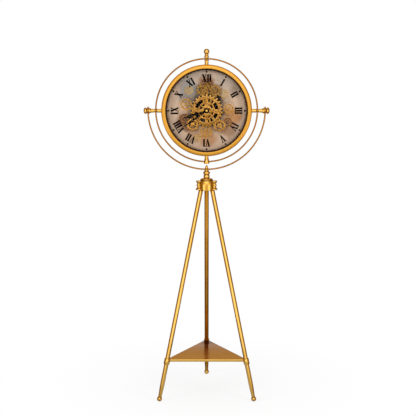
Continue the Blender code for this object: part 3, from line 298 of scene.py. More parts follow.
for name, angle in (("soft_box_left", math.radians(-50)), ("soft_box_right", math.radians(50))):
    data = bpy.data.lights.new(name, "AREA")
    data.shape = "RECTANGLE"
    data.size, data.size_y = box_size
    data.energy = box_power
    lamp = place_object(name, data)
    lamp.location = (box_distance * math.sin(angle), axis_y - box_distance * math.cos(angle), box_height)
    lamp.rotation_euler = (box_aim - lamp.location).to_track_quat("-Z", "Y").to_euler()
    lamp.visible_glossy = False
print("two soft boxes of", box_power, "W")

# %% [markdown]
# The stand is steel tube and sheet under an antique gold lacquer. Metal gives the strong
# reflections, the tinted lacquer gives the deep orange, and a thin, partly worn clear coat gives
# the sharp glint over it. Orange peel from spraying, about 2 mm across, and faint patches in the
# tint keep it from looking like plastic.

# %% Gold finishes
PEEL_SCALE = 450
CORNER_SHADE_REACH = 5 * mm


def metal_finish(name, colours, roughness, patch=18.0, peel_depth=0.004 * mm, coat=1.0,
                 edge_tint="A08050", corners="5A3408"):
    """A lacquered metal: tint patches, painted shade in its corners, uneven gloss and a fine orange peel."""
    material, tree, shader = new_material(name)
    position = add_node(tree, "TexCoord", out="Object")
    tint = add_node(tree, "TexNoise", position, patch, 4.0, 0.6)
    clean = add_node(tree, "ValToRGB", tint, stops=((0.3, colours[0]), (0.7, colours[1])))
    # Painted shade: ambient occlusion turns the colour towards the corners tone in corners and between
    # parts, where shade falls.
    reach = add_node(tree, "AmbientOcclusion", samples=8, Distance=CORNER_SHADE_REACH, out="AO")
    unshaded_share = add_node(tree, "MapRange", reach, 0.3, 0.85, **SMOOTH)
    base = add_node(tree, "Mix", unshaded_share, linear(corners), clean, data_type="RGBA")
    gloss = add_node(tree, "TexNoise", position, patch * 4, 3.0)
    low, high = roughness
    gloss = add_node(tree, "Math MULTIPLY_ADD", gloss, high - low, low)
    peel = add_node(tree, "TexNoise", position, PEEL_SCALE, 2.0)
    feed(shader, Base_Color=base, Metallic=1.0, Roughness=gloss, Coat_Weight=coat, Coat_Roughness=0.12,
         Specular_Tint=linear(edge_tint),
         Normal=add_node(tree, "Bump", Distance=peel_depth, Height=peel))
    return material


antique_gold = metal_finish(
    "antique_gold_lacquer_on_steel_tube", ("E6B654", "F0C264"), (0.14, 0.20), coat=0.25)
# The rear leg's tube has the same lacquer, given a darker copy as painted shade.
shaded_rear_gold = metal_finish("antique_gold_lacquer_with_painted_shade_for_the_rear_tube", ("BE8628", "CE9632"), (0.16, 0.24), coat=0.2)
polished_brass = metal_finish(
    "polished_lacquered_brass_turnings", ("EAB858", "F6C86C"), (0.10, 0.16), 30.0, coat=0.4,
    edge_tint="B89460")
ring_gold = metal_finish(
    "antique_gold_lacquer_on_bent_rod", ("B87E1A", "C88C26"), (0.22, 0.30), 12.0, coat=0.05,
    edge_tint="7A5018")
# The shelf's tray has the same lacquer as the stand, given a darker copy as painted shade.
shaded_tray_gold = metal_finish(
    "antique_gold_lacquer_with_painted_shade_on_the_shelf_tray", ("AA7636", "B4803E"), (0.14, 0.22), 9.0, 0.001 * mm, 0.05,
    edge_tint="D0C1BA")
zinc_steel = metal_finish("zinc_plated_steel", ("A9A9A4", "BDBDB8"), (0.25, 0.4), 80.0, edge_tint="E8E8E8")
print("stand finishes:", antique_gold.name, shaded_rear_gold.name, ring_gold.name, shaded_tray_gold.name)

# %% [markdown]
# The gears are stamped brass. Their colour is painted darker brown between the layers and in the corners, as
# painted shade, so they are brightest on their open faces.

# %% Gear brass
# The corners colour is the painted shade between the layers and in the corners.
gear_brass = metal_finish(
    "stamped_gear_brass_with_painted_corner_shade", ("905C1A", "D29C42"), (0.18, 0.34), 85.0, 0.003 * mm, 0.5,
    corners="3A1C04")
dull_brass = metal_finish(
    "dull_gear_brass_with_painted_corner_shade", ("8E6428", "AE8444"), (0.34, 0.46), 60.0, 0.003 * mm, 0.2,
    corners="3A1C04")
print("gear finishes:", gear_brass.name, dull_brass.name)

# %% [markdown]
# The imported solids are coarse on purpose. A turned piece is dressed by reading its own outline
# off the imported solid, along one meridian, rounding that outline's corners and turning it again
# with many more steps. So each piece stays exactly where the stand-in was, and every shoulder
# and bead gets the soft edge that polishing leaves.

# %% Read a turned piece's outline
TOLERANCE = 0.02 * mm
SOFT_TURN, LEAST_TURN = math.radians(57), math.radians(1.5)


def read_outline(node, origin, axis, across):
    """A turned node's outline as (radius, height) points, and whether it is a closed loop."""
    side = axis.cross(across)
    shape = bmesh.new()
    shape.from_mesh(frame["nodes"][node].data)
    bmesh.ops.remove_doubles(shape, verts=shape.verts, dist=TOLERANCE / 2)
    spots = {}
    for vert in shape.verts:
        offset = vert.co - origin
        if offset.dot(across) > TOLERANCE and abs(offset.dot(side)) < TOLERANCE:
            spots[vert] = (offset.dot(across), offset.dot(axis))
    links = {vert: set() for vert in spots}
    for edge in shape.edges:
        first, second = edge.verts
        if first in spots and second in spots:
            links[first].add(second)
            links[second].add(first)
    # Flat faces are cut in triangles that may miss the meridian: join what lies at one height
    loose = [vert for vert in spots if len(links[vert]) < 2]
    pairs = sorted(
        (abs(spots[a][0] - spots[b][0]), i, j) for i, a in enumerate(loose) for j, b in enumerate(loose)
        if i < j and abs(spots[a][1] - spots[b][1]) < TOLERANCE and b not in links[a]
    )
    for _, i, j in pairs:
        a, b = loose[i], loose[j]
        if len(links[a]) < 2 and len(links[b]) < 2:
            links[a].add(b)
            links[b].add(a)
    ends = [vert for vert in spots if len(links[vert]) == 1]
    order = [ends[0] if ends else next(iter(spots))]
    onward = True
    while onward:
        onward = [vert for vert in links[order[-1]] if vert not in order]
        order += onward[:1]
    outline = [spots[vert] for vert in order]
    shape.free()
    if ends:
        outline = [(0, outline[0][1])] + outline + [(0, outline[-1][1])]
    return outline, not ends


def soften(outline, closed, rounding=0.4 * mm, passes=2):
    """Cut shallow corners round, and take only the edge off the sharp ones."""
    outline = [Vector(point) for point in outline]
    for _ in range(passes):
        softer = []
        for i, point in enumerate(outline):
            back, ahead = outline[i - 1] - point, outline[(i + 1) % len(outline)] - point
            turn = math.pi - back.angle(ahead, 0)
            if turn < LEAST_TURN or not closed and i in (0, len(outline) - 1):
                softer.append(point)
                continue
            shorter = min(back.length, ahead.length)
            cut = shorter / 4 if turn < SOFT_TURN else min(rounding, shorter / 3)
            softer += [point + back.normalized() * cut, point + ahead.normalized() * cut]
        outline = softer
    return outline


stand_axis = Vector((0, axis_y, 0))
spire_outline, _ = read_outline("spire", stand_axis, Z_AXIS, X_AXIS)
print("the spire's outline has", len(spire_outline), "points")

# %% [markdown]
# An outline is turned into rings of points, and the rings are joined with faces. A finished piece
# gets its shading and its finish, rides on its body and takes the place of the solid it dresses.

# %% Turn an outline
SHARP = math.radians(40)


def to_mesh(shape, name):
    """A working shape as a mesh."""
    mesh = bpy.data.meshes.new(name)
    shape.to_mesh(mesh)
    shape.free()
    return mesh


def join_rings(shape, rings, closed):
    """Join rings of points with faces; a ring of one point many times is a tip."""
    for first, second in zip(rings, rings[1:] + rings[:1] if closed else rings[1:]):
        for step, corner in enumerate(first):
            onward = (step + 1) % len(first)
            corners = list(dict.fromkeys((corner, first[onward], second[onward], second[step])))
            if len(corners) > 2:
                shape.faces.new(corners)


def lathe_mesh(name, outline, closed, origin, axis, across, steps):
    """A closed mesh of an outline turned about an axis."""
    side = axis.cross(across)
    shape = bmesh.new()
    rings = []
    for radius, height in outline:
        middle = origin + axis * height
        if radius < TOLERANCE:
            rings.append([shape.verts.new(middle)] * steps)
        else:
            spots = [middle + (across * x + side * y) * radius for x, y in circle(1, steps=steps)]
            rings.append([shape.verts.new(spot) for spot in spots])
    join_rings(shape, rings, closed)
    bmesh.ops.recalc_face_normals(shape, faces=shape.faces)
    return to_mesh(shape, name)


def settle(name, mesh, finish, body, slot, *nodes):
    """A finished piece: smooth shading, its finish, its body and the nodes it stands for; the slot argument
    is not used.
    """
    mesh.materials.clear()
    mesh.materials.append(finish)
    mesh.shade_smooth()
    mesh.set_sharp_from_angle(angle=SHARP)
    piece = place_object(name, mesh)
    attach(piece, body)
    if nodes:
        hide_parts(*nodes)
    return piece


def stand_in(name, mesh, finish, node):
    """A finished piece in the place of one node."""
    return settle(name, mesh, finish, body_of[node], slots[node], node)


def turn_again(node, finish, origin, axis, across, steps=48, rounding=0.4 * mm):
    """Dress a turned node: its own outline, softened and turned with more steps."""
    outline, closed = read_outline(node, origin, axis, across)
    name = node + "_turned"
    mesh = lathe_mesh(name, soften(outline, closed, rounding), closed, origin, axis, across, steps)
    return stand_in(name, mesh, finish, node)


print("edges over", round(math.degrees(SHARP)), "degrees stay sharp")

# %% [markdown]
# The stand's and the head's turnings are polished brass: the cap with its two beads, the spire, the finial,
# the stems between case and hoop, the pivot sleeves and the ball knobs. The cap's foot, where it sits on the
# hub, is painted dark brown as shade, up to an uneven upper edge.

# %% Turnings of the stand and the head
foot_shade_from, foot_shade_to, foot_shade_wave = 2.6 * mm, 4.4 * mm, 1.2 * mm

turn_again("spire", polished_brass, stand_axis, Z_AXIS, X_AXIS)
cap = turn_again("hub_cap", polished_brass, stand_axis, Z_AXIS, X_AXIS)
foot_shaded_brass = polished_brass.copy()
foot_shaded_brass.name = "polished_brass_with_painted_shade_at_its_foot"
tree = foot_shaded_brass.node_tree
shader = tree.nodes["Principled BSDF"]
place = add_node(tree, "TexCoord", out="Object")
# Painted shade: the lowest few millimetres of the cap turn dark brown, with a wavy edge.
wave = add_node(tree, "Math MULTIPLY", add_node(tree, "TexNoise", place, 220, 3.0), foot_shade_wave)
above = add_node(tree, "Math ADD", add_node(tree, "SeparateXYZ", place, out="Z"), wave)
foot_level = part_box("hub_cap")[0].z
kept = add_node(tree, "MapRange", above, foot_level + foot_shade_from, foot_level + foot_shade_to, **SMOOTH)
clean = shader.inputs["Base Color"].links[0].from_socket
feed(shader, Base_Color=add_node(tree, "Mix", kept, linear("5A3A10"), clean, data_type="RGBA"))
cap.data.materials[0] = foot_shaded_brass
for node, axis in (("stem_top", Z_AXIS), ("finial", Z_AXIS), ("stem_bottom", -Z_AXIS)):
    turn_again(node, polished_brass, CENTRE, axis, X_AXIS)
for side, axis in (("right", X_AXIS), ("left", -X_AXIS)):
    for node in ("stem_", "side_sleeve_", "knob_"):
        turn_again(node + side, polished_brass, CENTRE, axis, Z_AXIS)
print("turnings made")

# %% [markdown]
# The bezel is spun from brass sheet and brushed round and round. Brushing leaves fine rings, one every 0.6
# mm or so here because finer ones would not show, and its gloss runs in soft fans. Its colour depends on the
# radius: the rolled outer band is painted darker than the flat inner one, as painted shade.

# %% Circular brushing
BEZEL_INNER, BEZEL_OUTER = 173 * mm, 190 * mm


def flat_place(tree):
    """Object coordinates from the dial's middle, without their depth."""
    place = add_node(tree, "TexCoord", out="Object")
    offset = add_node(tree, "VectorMath SUBTRACT", place, tuple(CENTRE))
    return add_node(tree, "VectorMath MULTIPLY", offset, (1, 0, 1))


brushed_bezel, tree, shader = new_material("circular_brushed_spun_brass")
flat = flat_place(tree)
radius = add_node(tree, "VectorMath LENGTH", flat)
lines = add_node(tree, "TexNoise", add_node(tree, "CombineXYZ", radius), 1700, 2.0, 0.7)
across = add_node(tree, "Math SUBTRACT", radius, BEZEL_INNER)
across = add_node(tree, "Math DIVIDE", across, BEZEL_OUTER - BEZEL_INNER)
# Painted shade: the outer band's colour is darker than the inner band's.
tone = add_node(
    tree, "ValToRGB", across, stops=((0.0, "EEB44C"), (0.42, "EEB44C"), (0.75, "E29E30"), (1.0, "E29E30")))
grooves = add_node(tree, "Math MULTIPLY", lines, 0.35)
fans = add_node(tree, "TexNoise", flat, 9, 2.0)
feed(shader, Metallic=1.0,
     Base_Color=add_node(tree, "Mix", grooves, tone, linear("8A5410"), data_type="RGBA"),
     Roughness=add_node(tree, "Math MULTIPLY_ADD", fans, 0.16, 0.26),
     Coat_Weight=0.15, Coat_Roughness=0.2,
     Normal=add_node(tree, "Bump", Distance=0.006 * mm, Height=lines))
turn_again("bezel", brushed_bezel, CENTRE, FORWARD, X_AXIS, 144, 0.5 * mm)
turn_again("case", antique_gold, CENTRE, FORWARD, X_AXIS, 144, 0.3 * mm)
print("bezel brushed from", BEZEL_INNER, "to", BEZEL_OUTER, "m")

# %% [markdown]
# Between the bezel and the dial stands a cone of dark brown painted sheet, and a black rubber
# gasket under the glass. Paint and rubber are not metal: their gloss is weak and broad. Dust
# lightens the rubber a little.

# %% Paint, rubber and plastic


def plain_finish(name, colours, roughness, scale, depth=0.0, specular=0.4):
    """A painted, moulded or printed surface: two tones, uneven gloss and a fine grain."""
    material, tree, shader = new_material(name)
    position = add_node(tree, "TexCoord", out="Object")
    patches = add_node(tree, "TexNoise", position, scale, 4.0)
    low, high = roughness
    feed(shader, Specular_IOR_Level=specular,
         Base_Color=add_node(tree, "ValToRGB", patches, stops=((0.3, colours[0]), (0.7, colours[1]))),
         Roughness=add_node(tree, "Math MULTIPLY_ADD", patches, high - low, low))
    if depth:
        grain = add_node(tree, "TexNoise", position, scale * 9, 2.0)
        feed(shader, Normal=add_node(tree, "Bump", Distance=depth, Height=grain))
    return material


shade_paint = plain_finish(
    "matte_dark_brown_paint_on_sheet", ("2A1508", "3D2110"), (0.7, 0.85), 90, 0.01 * mm, 0.1)
gasket_rubber = plain_finish("dusty_black_rubber", ("171514", "24211F"), (0.75, 0.9), 160, 0.02 * mm, 0.2)
black_lacquer = plain_finish(
    "satin_black_lacquer_on_steel", ("030302", "070605"), (0.42, 0.55), 220, 0.004 * mm, 0.08)
black_plastic = plain_finish("moulded_black_abs", ("0E0E0E", "181817"), (0.45, 0.6), 900, 0.012 * mm)
cover_paint = plain_finish(
    "black_powder_coat_on_steel_sheet", ("1E1C1A", "2C2927"), (0.42, 0.55), 700, 0.02 * mm)
battery_sleeve = plain_finish("printed_shrink_sleeve", ("3C4248", "4B5259"), (0.25, 0.35), 60)
turn_again("inner_ring", shade_paint, CENTRE, FORWARD, X_AXIS, 144, 0.2 * mm)
turn_again("glass_gasket", gasket_rubber, CENTRE, FORWARD, X_AXIS, 144, 0.3 * mm)
print("cone and gasket turned")

# %% [markdown]
# The window is clear float glass, 3 mm thick, with a coating against glare. The eye's rays are
# refracted by it. The light that comes in to the dial, or goes out from it, passes straight on.

# %% Window glass
float_glass, tree, shader = new_material("clear_float_glass")
haze = add_node(tree, "TexNoise", add_node(tree, "TexCoord", out="Object"), 25, 3.0)
feed(shader, Base_Color=linear("FBFDFC"), Transmission_Weight=1.0, IOR=1.5, Specular_Tint=linear("404040"),
     Roughness=add_node(tree, "Math MULTIPLY", haze, 0.004))
path = add_node(tree, "LightPath").node.outputs
light_ray = add_node(tree, "Math MAXIMUM", path["Is Diffuse Ray"], path["Is Glossy Ray"])
light_ray = add_node(tree, "Math MAXIMUM", path["Is Shadow Ray"], light_ray)
clear = add_node(tree, "BsdfTransparent")
feed(tree.nodes["Material Output"], Surface=add_node(tree, "MixShader", light_ray, shader.outputs[0], clear))
turn_again("glass", float_glass, CENTRE, FORWARD, X_AXIS, 144, 0.3 * mm)
print("glass turned")

# %% [markdown]
# The rod of the hoop and of the half ring is bent in one piece, so it is made as one smooth tube
# here, and its drilled bosses and eyes are fused to it and bored through, as by a welder and a
# drill.

# %% Bent rods
rod_radius = 3.25 * mm
FACE = Matrix.Translation(CENTRE) @ Matrix.Rotation(math.pi / 2, 4, "X")
HOOP_RADIUS, YOKE_RADIUS = 214.8 * mm, 247.6 * mm
boss_half, boss_radius, stud_bore = 4.1 * mm, 5.2 * mm, 2.4 * mm
eye_half, eye_radius, pin_bore = 3.75 * mm, 10 * mm, 4.3 * mm
foot_half, foot_radius, cap_bore = 4 * mm, 8 * mm, 2.9 * mm
horn_rise = 17 * mm  # the half ring's ends stand this far above its eyes
beyond = 5 * mm
RIGHT, LEFT, UP, DOWN = (X_AXIS, Z_AXIS), (-X_AXIS, Z_AXIS), (Z_AXIS, X_AXIS), (-Z_AXIS, X_AXIS)


def rod_mesh(name, radius, first, last, count, sides=20):
    """A bent round rod in the head's plane; angles run anticlockwise from the right."""
    whole = last - first > math.tau - 0.001
    shape = bmesh.new()
    rings = []
    for i in range(count):
        angle = first + (last - first) * i / (count if whole else count - 1)
        out = Vector((math.cos(angle), math.sin(angle), 0))
        spots = [FACE @ (out * (radius + x) + Z_AXIS * y) for x, y in circle(rod_radius, steps=sides)]
        rings.append([shape.verts.new(spot) for spot in spots])
    join_rings(shape, rings, whole)
    if not whole:
        shape.faces.new(rings[0])
        shape.faces.new(list(reversed(rings[-1])))
    bmesh.ops.recalc_face_normals(shape, faces=shape.faces)
    return to_mesh(shape, name)


def take_mesh(item):
    """An object's shape as its modifiers leave it; the object itself goes."""
    bpy.context.view_layer.update()
    mesh = bpy.data.meshes.new_from_object(item.evaluated_get(bpy.context.evaluated_depsgraph_get()))
    bpy.data.objects.remove(item, do_unlink=True)
    return mesh


def combine(base, tools):
    """Fuse or cut meshes: tools are (mesh, operation) pairs; the result is a plain mesh."""
    work = place_object("work", base)
    for mesh, operation in tools:
        step = work.modifiers.new("step", "BOOLEAN")
        step.operation = operation
        step.object = place_object("helper", mesh)
    helpers = [step.object for step in work.modifiers]
    result = take_mesh(work)
    for helper in helpers:
        bpy.data.objects.remove(helper, do_unlink=True)
    return result


def drum(radius, bottom, top, axis, across, edge=0.3 * mm, origin=CENTRE, steps=40):
    """A short cylinder with its edges taken off."""
    outline = soften(((0, bottom), (radius, bottom), (radius, top), (0, top)), False, edge, 2 if edge else 0)
    return lathe_mesh("drum", outline, False, origin, axis, across, steps)


def cross_tools(operation, circle_radius, half, radius, *ways):
    """Bosses that lie across a bent rod, or the longer tools that bore them."""
    cuts = operation == "DIFFERENCE"
    low, high = circle_radius - half - beyond * cuts, circle_radius + half + beyond * cuts
    edge = 0 if cuts else 0.3 * mm
    return [(drum(radius, low, high, axis, across, edge), operation) for axis, across in ways]


tools = cross_tools("UNION", HOOP_RADIUS, boss_half, boss_radius, RIGHT, LEFT, UP, DOWN)
tools += cross_tools("DIFFERENCE", HOOP_RADIUS, boss_half, stud_bore, RIGHT, LEFT, UP, DOWN)
hoop_rod = rod_mesh("hoop_rod", HOOP_RADIUS, 0, math.tau, 240)
stand_in("hoop_bent_rod", combine(hoop_rod, tools), ring_gold, "hoop")

tools = cross_tools("UNION", YOKE_RADIUS, foot_half, foot_radius, DOWN)
tools += cross_tools("UNION", YOKE_RADIUS, eye_half, eye_radius, RIGHT, LEFT)
tools += cross_tools("DIFFERENCE", YOKE_RADIUS, eye_half, pin_bore, RIGHT, LEFT)
tools += cross_tools("DIFFERENCE", YOKE_RADIUS, foot_half, cap_bore, DOWN)
horn_angle = math.asin(horn_rise / YOKE_RADIUS)
yoke_rod = rod_mesh("yoke_rod", YOKE_RADIUS, math.pi - horn_angle, math.tau + horn_angle, 160)
stand_in("yoke_bent_rod", combine(yoke_rod, tools), ring_gold, "yoke")
print("hoop and half ring made")

# %% [markdown]
# Each leg is one steel tube with its foot end swaged thinner over a die, which leaves a smooth
# taper. The ball foot is turned in one with its spigot and has a small flat where it stands.

# %% Legs and ball feet
foot_circle, foot_height = 236 * mm, 10.25 * mm
ear_circle, hub_bottom = 24.5 * mm, 906.2 * mm
tube_radius, tip_radius, tube_wall = 9.5 * mm, 7.6 * mm, 1.5 * mm
taper, ball, spigot_length = 45 * mm, 11 * mm, 15 * mm
socket_depth = 29.7 * mm
fit = 0.3 * mm
LEG_PLANS = {"left": (-60, -90), "right": (60, 90), "rear": (180, 180)}


def plan(degrees, radius, height):
    """A point at an angle from straight ahead, round the stand's axis."""
    angle = math.radians(degrees)
    return Vector((radius * math.sin(angle), axis_y - radius * math.cos(angle), height))


def leg_line(side):
    """A leg's foot, its direction and its length up to the hub's underside."""
    foot_degrees, ear_degrees = LEG_PLANS[side]
    foot = plan(foot_degrees, foot_circle, foot_height)
    rise = plan(ear_degrees, ear_circle, hub_bottom) - foot
    return foot, rise.normalized(), rise.length


for side in LEG_PLANS:
    foot, axis, length = leg_line(side)
    across = axis.cross(Z_AXIS).normalized()
    bore = tip_radius - tube_wall
    start = math.sqrt(ball**2 - bore**2) + fit
    outline = (
        (tube_radius, length + socket_depth), (tube_radius, start + taper), (tip_radius, start + taper / 4),
        (tip_radius, start), (bore, start), (tube_radius - tube_wall, start + taper),
        (tube_radius - tube_wall, length + socket_depth),
    )
    mesh = lathe_mesh("leg_tube_" + side, soften(outline, True, 0.3 * mm), True, foot, axis, across, 48)
    # The rear tube takes the darker copy of the lacquer as painted shade.
    stand_in("leg_tube_" + side, mesh, shaded_rear_gold if side == "rear" else antique_gold, "leg_" + side)
    spigot = bore - fit
    first = math.asin(spigot / ball)
    angles = [first + (math.pi - first) * i / 20 for i in range(21)]
    outline = [(0, start + spigot_length), (spigot, start + spigot_length)]
    outline += [(ball * math.sin(angle), ball * math.cos(angle)) for angle in angles]
    mesh = lathe_mesh("ball_foot_" + side, outline, False, foot, axis, across, 48)
    for vert in mesh.vertices:
        vert.co.z = max(vert.co.z, 0)
    stand_in("ball_foot_" + side, mesh, polished_brass, "foot_" + side)
print("legs and feet made")

# %% [markdown]
# The hub is a drum with a spool-shaped ear over each leg, cast in one, turned and drilled: a
# blind socket for each tube from below, and a flat seat with a bolt hole in each ear's waist. The
# dome bolts are smooth turnings with a hexagon socket.

# %% Hub and its bolts
hub_height, hub_radius, hub_edge = 42.3 * mm, 29.2 * mm, 1.5 * mm
ear_circle_top, ear_lip, ear_waist, ear_foot = 32 * mm, 13.2 * mm, 8.5 * mm, 14.7 * mm
ear_start, ear_top, ear_edge = 1.5 * mm, hub_height - 0.6 * mm, 1.2 * mm
bolt_level, bolt_head, bolt_rise, bolt_shank, seat_depth = 21 * mm, 5.5 * mm, 4.5 * mm, 2.5 * mm, 1.2 * mm
hexagon_radius, hexagon_depth = 1.9 * mm, 2.2 * mm
hub_base = Vector((0, axis_y, hub_bottom))
outline = soften(((0, 0), (hub_radius, 0), (hub_radius, hub_height), (0, hub_height)), False, hub_edge, 3)
hub_drum = lathe_mesh("hub_drum", outline, False, hub_base, Z_AXIS, X_AXIS, 96)
ear_outline = soften((
    (0, ear_start), (ear_foot, ear_start), (ear_foot, 7 * mm), (ear_waist, 12 * mm),
    (ear_waist, ear_top - 11 * mm), (ear_lip, ear_top - 6 * mm), (ear_lip, ear_top), (0, ear_top),
), False, ear_edge, 3)
ears, holes = [], []
for side, (_, ear_degrees) in LEG_PLANS.items():
    middle = plan(ear_degrees, ear_circle_top, hub_bottom)
    ears.append((lathe_mesh("ear", ear_outline, False, middle, Z_AXIS, X_AXIS, 56), "UNION"))
    foot, axis, length = leg_line(side)
    out = (middle - hub_base).normalized()
    seat = ear_circle_top + ear_waist - seat_depth
    line = hub_base + Z_AXIS * bolt_level
    across = axis.cross(Z_AXIS).normalized()
    holes += [(tool, "DIFFERENCE") for tool in (
        drum(tube_radius + fit, length - 24 * mm, length + 30 * mm, axis, across, 0, foot),
        drum(bolt_head + fit, seat, seat + bolt_head, out, Z_AXIS, 0, line),
        drum(bolt_shank + fit, ear_circle, seat + 2 * mm, out, Z_AXIS, 0, line),
    )]
    bolt_outline, closed = read_outline("hub_bolt_" + side, line, out, Z_AXIS)
    bolt = lathe_mesh("bolt", soften(bolt_outline, closed, passes=3), closed, line, out, Z_AXIS, 40)
    tip = seat + fit + bolt_rise
    socket = drum(hexagon_radius, tip - hexagon_depth, tip + 1 * mm, out, Z_AXIS, 0, line, steps=6)
    bolt = combine(bolt, [(socket, "DIFFERENCE")])
    stand_in("dome_bolt_" + side, bolt, polished_brass, "hub_bolt_" + side)
stand_in("hub_cast_and_turned", combine(hub_drum, ears + holes), antique_gold, "hub")
print("hub and bolts made")

# %% [markdown]
# What isn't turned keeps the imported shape: a copy is merged, and its coarse arcs are made round.
# An arc is a short edge whose two ends are equally far from the piece's axis, so it is cut in
# four and its new points are moved out to that radius.

# %% Round the coarse arcs
ARC_CUTS = 3
WIDEST_STEP = math.radians(32)
LEAST_RADIUS = 1 * mm


def round_arcs(shape, origin, axis):
    """Cut the short edges that lie on circles about an axis, and move the new points out."""
    arcs, targets = [], {}
    for edge in shape.edges:
        offsets = [vert.co - origin for vert in edge.verts]
        heights = [offset.dot(axis) for offset in offsets]
        flat = [offset - axis * height for offset, height in zip(offsets, heights)]
        level = abs(heights[0] - heights[1]) < TOLERANCE and abs(flat[0].length - flat[1].length) < TOLERANCE
        if level and flat[0].length > LEAST_RADIUS and flat[0].angle(flat[1]) < WIDEST_STEP:
            arcs.append(edge)
            for cut in range(1, ARC_CUTS + 1):
                spot = edge.verts[0].co.lerp(edge.verts[1].co, cut / (ARC_CUTS + 1))
                targets[tuple(round(v, 6) for v in spot)] = (flat[0].length, heights[0])
    known = set(shape.verts)
    bmesh.ops.subdivide_edges(shape, edges=arcs, cuts=ARC_CUTS, use_grid_fill=False)
    for vert in shape.verts:
        key = tuple(round(v, 6) for v in vert.co)
        if vert not in known and key in targets:
            radius, height = targets[key]
            flat = vert.co - origin - axis * height
            vert.co = origin + axis * height + flat.normalized() * radius


print("an arc's edge is cut in", ARC_CUTS + 1)

# %% [markdown]
# Faces with such arcs are split into triangles again, and then a narrow bevel takes the edge off, so that
# stamped and machined edges catch the light. The dial, the gear carrier and the motor box have neither, and
# keep their packed triangles. The shelf's flat tray takes a darker copy of its gold as painted shade, and
# its upright folded lip takes the brighter one as a painted highlight.

# %% Dress the other solids
BEVEL_FROM = math.radians(50)
NEARLY_FLAT = math.radians(0.5)
fine_edge = 0.2 * mm


def add_bevel(item, width, segments, **settings):
    """A bevel on an object's sharp edges."""
    bevel = item.modifiers.new("edge", "BEVEL")
    bevel.width = width
    bevel.segments = segments
    bevel.limit_method = "ANGLE"
    for name, value in settings.items():
        setattr(bevel, name, value)


def dress(node, finish, edge=0.0, about=None):
    """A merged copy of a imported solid, its arcs rounded about an axis and its edges bevelled."""
    shape = bmesh.new()
    shape.from_mesh(frame["nodes"][node].data)
    bmesh.ops.remove_doubles(shape, verts=shape.verts, dist=TOLERANCE / 4)
    if edge or about:  # a plate that stays as it is keeps its triangles, so its holes stay sound
        bmesh.ops.dissolve_limit(shape, angle_limit=NEARLY_FLAT, verts=shape.verts, edges=shape.edges)
    if about:
        round_arcs(shape, *about)
        bmesh.ops.triangulate(shape, faces=shape.faces, quad_method="BEAUTY", ngon_method="BEAUTY")
    mesh = to_mesh(shape, node + "_dressed")
    if edge:
        work = place_object("work", mesh)
        add_bevel(work, edge, 2, angle_limit=BEVEL_FROM)
        mesh = take_mesh(work)
    return stand_in(node + "_dressed", mesh, finish, node)


def own_line(node, axis):
    """A line through the middle of a node's box."""
    low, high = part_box(node)
    return (low + high) / 2, axis


face_line = (CENTRE, FORWARD)
for side in LEG_PLANS:
    dress("shelf_clamp_" + side, antique_gold, fine_edge, leg_line(side)[:2])
shelf = dress("shelf", shaded_tray_gold, fine_edge)
# Painted shade and highlight: flat faces keep the darker copy, and the upright faces of the lip take the
# brighter gold.
shelf.data.materials.append(antique_gold)
for face in shelf.data.polygons:
    face.material_index = int(abs(face.normal.z) < 0.5)
dress("bell_nut", polished_brass, fine_edge, (CENTRE, Z_AXIS))
dress("back_cover", cover_paint, 0, face_line)
dress("movement", black_plastic, 0, face_line)
dress("gear_motor", black_plastic)
dress("movement_battery", battery_sleeve, fine_edge, own_line("movement_battery", X_AXIS))
dress("motor_battery", battery_sleeve, fine_edge, own_line("motor_battery", Z_AXIS))
dress("setting_knob", black_plastic, fine_edge, own_line("setting_knob", FORWARD))
dress("centre_nut", zinc_steel, fine_edge)
dress("gear_carrier", dull_brass)
dress("gear_bridge", dull_brass, fine_edge)
for node in ("main_wheel", "coarse_wheel"):
    dress(node, gear_brass, fine_edge, face_line)
for node in ("drive_wheel", "idler_wheel"):
    dress(node, gear_brass, fine_edge, own_line(node, FORWARD))
for node in ("left_pinion", "right_pinion"):
    dress(node, dull_brass, fine_edge, own_line(node, FORWARD))
print("other solids dressed")

# %% [markdown]
# Thick lacquer makes the hands a little bolder than their bare steel: it rounds out the edges by
# about a millimetre and half closes the leaf shaped window in each blade.

# %% Lacquered hands
HANDS = (  # node, clock angle, then in mm: hub radius, window from, to and half width, lacquer
    ("hour_hand", 252, 9.5, 61, 79.5, 4.1, 1.0), ("minute_hand", 235.5, 8.5, 66, 83, 2.8, 1.0),
    ("second_hand", 306, 5.5, 200, 200, 0, 0.35),
)
for node, clock_degrees, hub_edge_radius, window_from, window_to, window_half, build in HANDS:
    mesh = dress(node, black_lacquer, fine_edge, face_line).data
    turn = math.radians(clock_degrees)
    ahead = Vector((math.sin(turn), 0, math.cos(turn)))
    across = Vector((math.cos(turn), 0, -math.sin(turn)))
    for vertex in mesh.vertices:
        place = vertex.co - CENTRE
        reach, aside = place.dot(ahead) / mm, place.dot(across) / mm
        if math.hypot(reach, aside) > hub_edge_radius:
            in_window = window_from < reach < window_to and abs(aside) < window_half
            grown = -0.5 * aside if in_window else math.copysign(build, aside)
            vertex.co += across * grown * mm
print("hands lacquered")

# %% [markdown]
# The dial is a printed aluminium plate: an aged, dusty pink-brown ground with slate and rust clouds and a
# darker printed minute track. From the minute track outward the ground is painted darker still towards the
# rim, as the bezel's shadow, and its nearly black middle behind the open wheels is painted shade. The print
# here is a design of its own kind. The clouds are distances to a few middles, pushed about by noise. The
# whole is worn a little, but not its dark middle.

